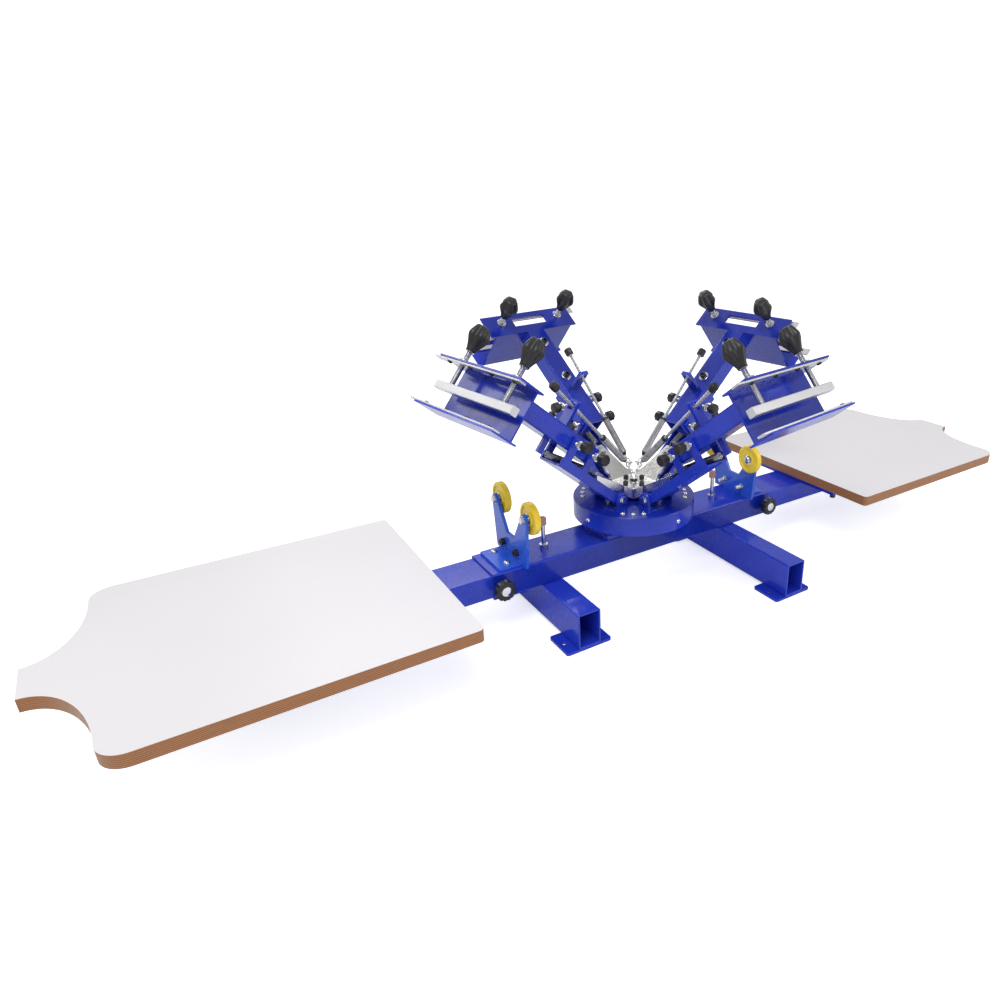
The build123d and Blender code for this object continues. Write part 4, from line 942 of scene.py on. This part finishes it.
def turntable_hardware():
    """Spring anchors, stand-offs, star screws, cover screws and index screws."""
    build = Build("turntable_hardware", [CHROME, BLACK, THREAD])
    half = STAR_THICKNESS / 2
    for quarter in range(4):
        matrix = hub_matrix(TURNTABLE_ANGLE + 90 * quarter)
        anchor = star_place(matrix, ANCHOR_CIRCLE)
        below = anchor @ Matrix.Translation((0, 0, -half)) @ Matrix.Rotation(pi, 4, "X")
        hex_head(build, anchor @ Matrix.Translation((0, 0, half)), *ANCHOR_HEAD)
        hex_head(build, below, *ANCHOR_HEAD)
        stud_top = STAR_BOTTOM + (STUD_CIRCLE - STAR_FOLD) * tan(star_slope()) - 1.0
        stud = matrix @ Matrix.Translation((STUD_CIRCLE, 0, 0))
        build.lathe(stud, [(DRUM_TOP, 0), (DRUM_TOP, 4), (stud_top, 4), (stud_top, 0)], 0, 28)
        screw = at(matrix, (STAR_SCREW_CIRCLE, 0, STAR_BOTTOM + STAR_THICKNESS), (0, 0, 1))
        cap_head(build, screw, *STAR_SCREW_HEAD, 1)
        button_head(build, at(matrix, (DRUM_SIDE, 0, INDEX_HEIGHT), (1, 0, 0)), *SMALL_HEAD)
        for step in (-1, 0, 1):
            cover = hub_matrix(TURNTABLE_ANGLE + 90 * quarter + 45 + step * COVER_STEP)
            button_head(build, at(cover, (COVER_CIRCLE, 0, DRUM_TOP), (0, 0, 1)), *SMALL_HEAD)
    build.make("turntable", ("turntable_fasteners",))


PIVOT_FACE = 35.0
PIVOT_PIN_RADIUS = 5.0
PIVOT_NUT = (6.8, 4.0)


def arm_pivots():
    """Pivot bolts with a hexagon head, a lock nut and a washer at each bracket."""
    build = Build("pivot_bolts", [ZINC])
    for number in ARMS:
        matrix = arm_matrix(number, 0)
        shank = at(matrix, (PIVOT_X, 0, PIVOT_Z), (0, 1, 0))
        pin = [
            (-PIVOT_FACE, 0), (-PIVOT_FACE, PIVOT_PIN_RADIUS), (PIVOT_FACE, PIVOT_PIN_RADIUS),
            (PIVOT_FACE, 0),
        ]
        build.lathe(shank, pin, 0, 28)
        for side in (-1, 1):
            face = at(matrix, (PIVOT_X, side * PIVOT_FACE, PIVOT_Z), (0, side, 0))
            hex_head(build, face, *PIVOT_NUT, turn=0.3 * side)
    build.make("turntable", ("pivot_pins",))


EYE_HEIGHT = 238.0
EYE_RING = 9.5
EYE_WIRE = 2.5
EYE_NUT = (8.8, 8.0)


def eye():
    """Forged eye bolt with a hexagon nut on the star plate."""
    build = Build("forged_eye", [CHROME])
    matrix = hub_matrix(TURNTABLE_ANGLE + 45)
    turns = [2 * pi * i / 48 for i in range(48)]
    ring = [(0, EYE_RING * sin(turn), EYE_HEIGHT + EYE_RING * cos(turn)) for turn in turns]
    build.sweep(matrix, ring, EYE_WIRE, 0, 16, closed=True)
    stem = [(STAR_BOTTOM, 0), (STAR_BOTTOM, 5), (224, 5), (227, 4.2), (229, 2.6), (229, 0)]
    build.lathe(matrix, stem, 0, 28)
    nut = matrix @ Matrix.Translation((0, 0, STAR_BOTTOM + STAR_THICKNESS))
    hex_head(build, nut, *EYE_NUT)
    build.make("turntable", ("eye_bolt",))


# ---------------- stage ----------------

CAMERA_PLACE = Vector((-0.7613, -1.0762, 0.7472))
CAMERA_YAW = 34.43
CAMERA_PITCH = 23.54
CAMERA_FOCAL = 734.9      # in pixels of a frame 1000 wide
OPTICAL_CENTRE = (623.7, 497.3)
FRAME_PIXELS = 1000.0
SENSOR = 36.0
SKY_STRENGTH = 0.55
BACKGROUND_STRENGTH = 1.1     # what the camera sees behind the press
FLOOR_SIZE = 400.0
FLOOR_GLOW = 0.60
MIDDLE = (0, 0, 0.2)
LIGHTS = (                    # name, place, point it faces, size, power in watts
    ("key", (-1.2, -1.0, 2.6), MIDDLE, (1.4, 1.4), 34),
    ("fill", (1.9, -1.7, 1.3), MIDDLE, (1.0, 1.4), 12),
    ("back", (0.6, 2.2, 2.0), MIDDLE, (2.2, 0.8), 22),
    ("sheen", (-1.5, 1.8, 1.65), (-0.3, 0, 0.42), (0.5, 0.4), 2),
)


def camera():
    """Camera solved from the photo, with its optical centre off the middle of the frame."""
    data = bpy.data.cameras.new("camera")
    view = bpy.data.objects.new("camera", data)
    bpy.context.scene.collection.objects.link(view)
    view.location = CAMERA_PLACE
    view.rotation_euler = (radians(90 - CAMERA_PITCH), 0, radians(-CAMERA_YAW))
    data.sensor_fit = "HORIZONTAL"
    data.sensor_width = SENSOR
    data.lens = CAMERA_FOCAL / FRAME_PIXELS * SENSOR
    half = FRAME_PIXELS / 2
    data.shift_x = (half - OPTICAL_CENTRE[0]) / FRAME_PIXELS
    data.shift_y = (OPTICAL_CENTRE[1] - half) / FRAME_PIXELS
    data.clip_start = 0.01
    bpy.context.scene.camera = view


def area_light(name, place, target, size, power):
    """Rectangular lamp that faces target."""
    data = bpy.data.lights.new(name, "AREA")
    data.shape = "RECTANGLE"
    data.size, data.size_y = size
    data.energy = power
    lamp = bpy.data.objects.new(name, data)
    lamp.location = place
    lamp.rotation_euler = (Vector(target) - Vector(place)).to_track_quat("-Z", "Y").to_euler()
    bpy.context.scene.collection.objects.link(lamp)


def studio_floor():
    """Pale floor that catches shadows and looks white to the camera."""
    bpy.ops.mesh.primitive_plane_add(size=FLOOR_SIZE, location=(0, 0, 0))
    floor = bpy.context.object
    floor.name = "floor"
    shader = Shader("pale_floor")
    tone = shader.ramp(shader.noise(1.2, 2.0), (0.90, 0.90, 0.90), (0.92, 0.92, 0.92))
    lit = shader.surface(tone, 0.9)
    rays = shader.add("ShaderNodeLightPath")
    glow = shader.add("ShaderNodeEmission", Color=(1, 1, 1, 1), Strength=FLOOR_GLOW)
    both = shader.add("ShaderNodeAddShader")
    shader.link(lit, both.inputs[0])
    shader.link(glow.outputs["Emission"], both.inputs[1])
    pick = shader.add("ShaderNodeMixShader")
    shader.link(rays.outputs["Is Camera Ray"], pick.inputs["Fac"])
    shader.link(lit, pick.inputs[1])
    shader.link(both.outputs["Shader"], pick.inputs[2])
    floor.data.materials.append(shader.finish(pick.outputs["Shader"]))


def studio_sky():
    """Soft light from all round in front of a white background."""
    world = bpy.data.worlds.new("studio")
    bpy.context.scene.world = world
    world.use_nodes = True
    tree = world.node_tree
    tree.nodes.clear()
    output = tree.nodes.new("ShaderNodeOutputWorld")
    rays = tree.nodes.new("ShaderNodeLightPath")
    pick = tree.nodes.new("ShaderNodeMixShader")
    sky = tree.nodes.new("ShaderNodeBackground")
    sky.inputs["Color"].default_value = (1, 1, 1, 1)
    sky.inputs["Strength"].default_value = SKY_STRENGTH
    white = tree.nodes.new("ShaderNodeBackground")
    white.inputs["Color"].default_value = (1, 1, 1, 1)
    white.inputs["Strength"].default_value = BACKGROUND_STRENGTH
    tree.links.new(rays.outputs["Is Camera Ray"], pick.inputs["Fac"])
    tree.links.new(sky.outputs["Background"], pick.inputs[1])
    tree.links.new(white.outputs["Background"], pick.inputs[2])
    tree.links.new(pick.outputs["Shader"], output.inputs["Surface"])


# ---------------- the scene ----------------

dress_frame()
lock_knobs()
clamp_screws()
head_details()
cross_screws()
lift_springs()
tension_rods()
rollers()
base_hardware()
turntable_hardware()
arm_pivots()
eye()
camera()
studio_floor()
studio_sky()
for light in LIGHTS:
    area_light(*light)
bpy.context.scene.view_settings.view_transform = "Standard"
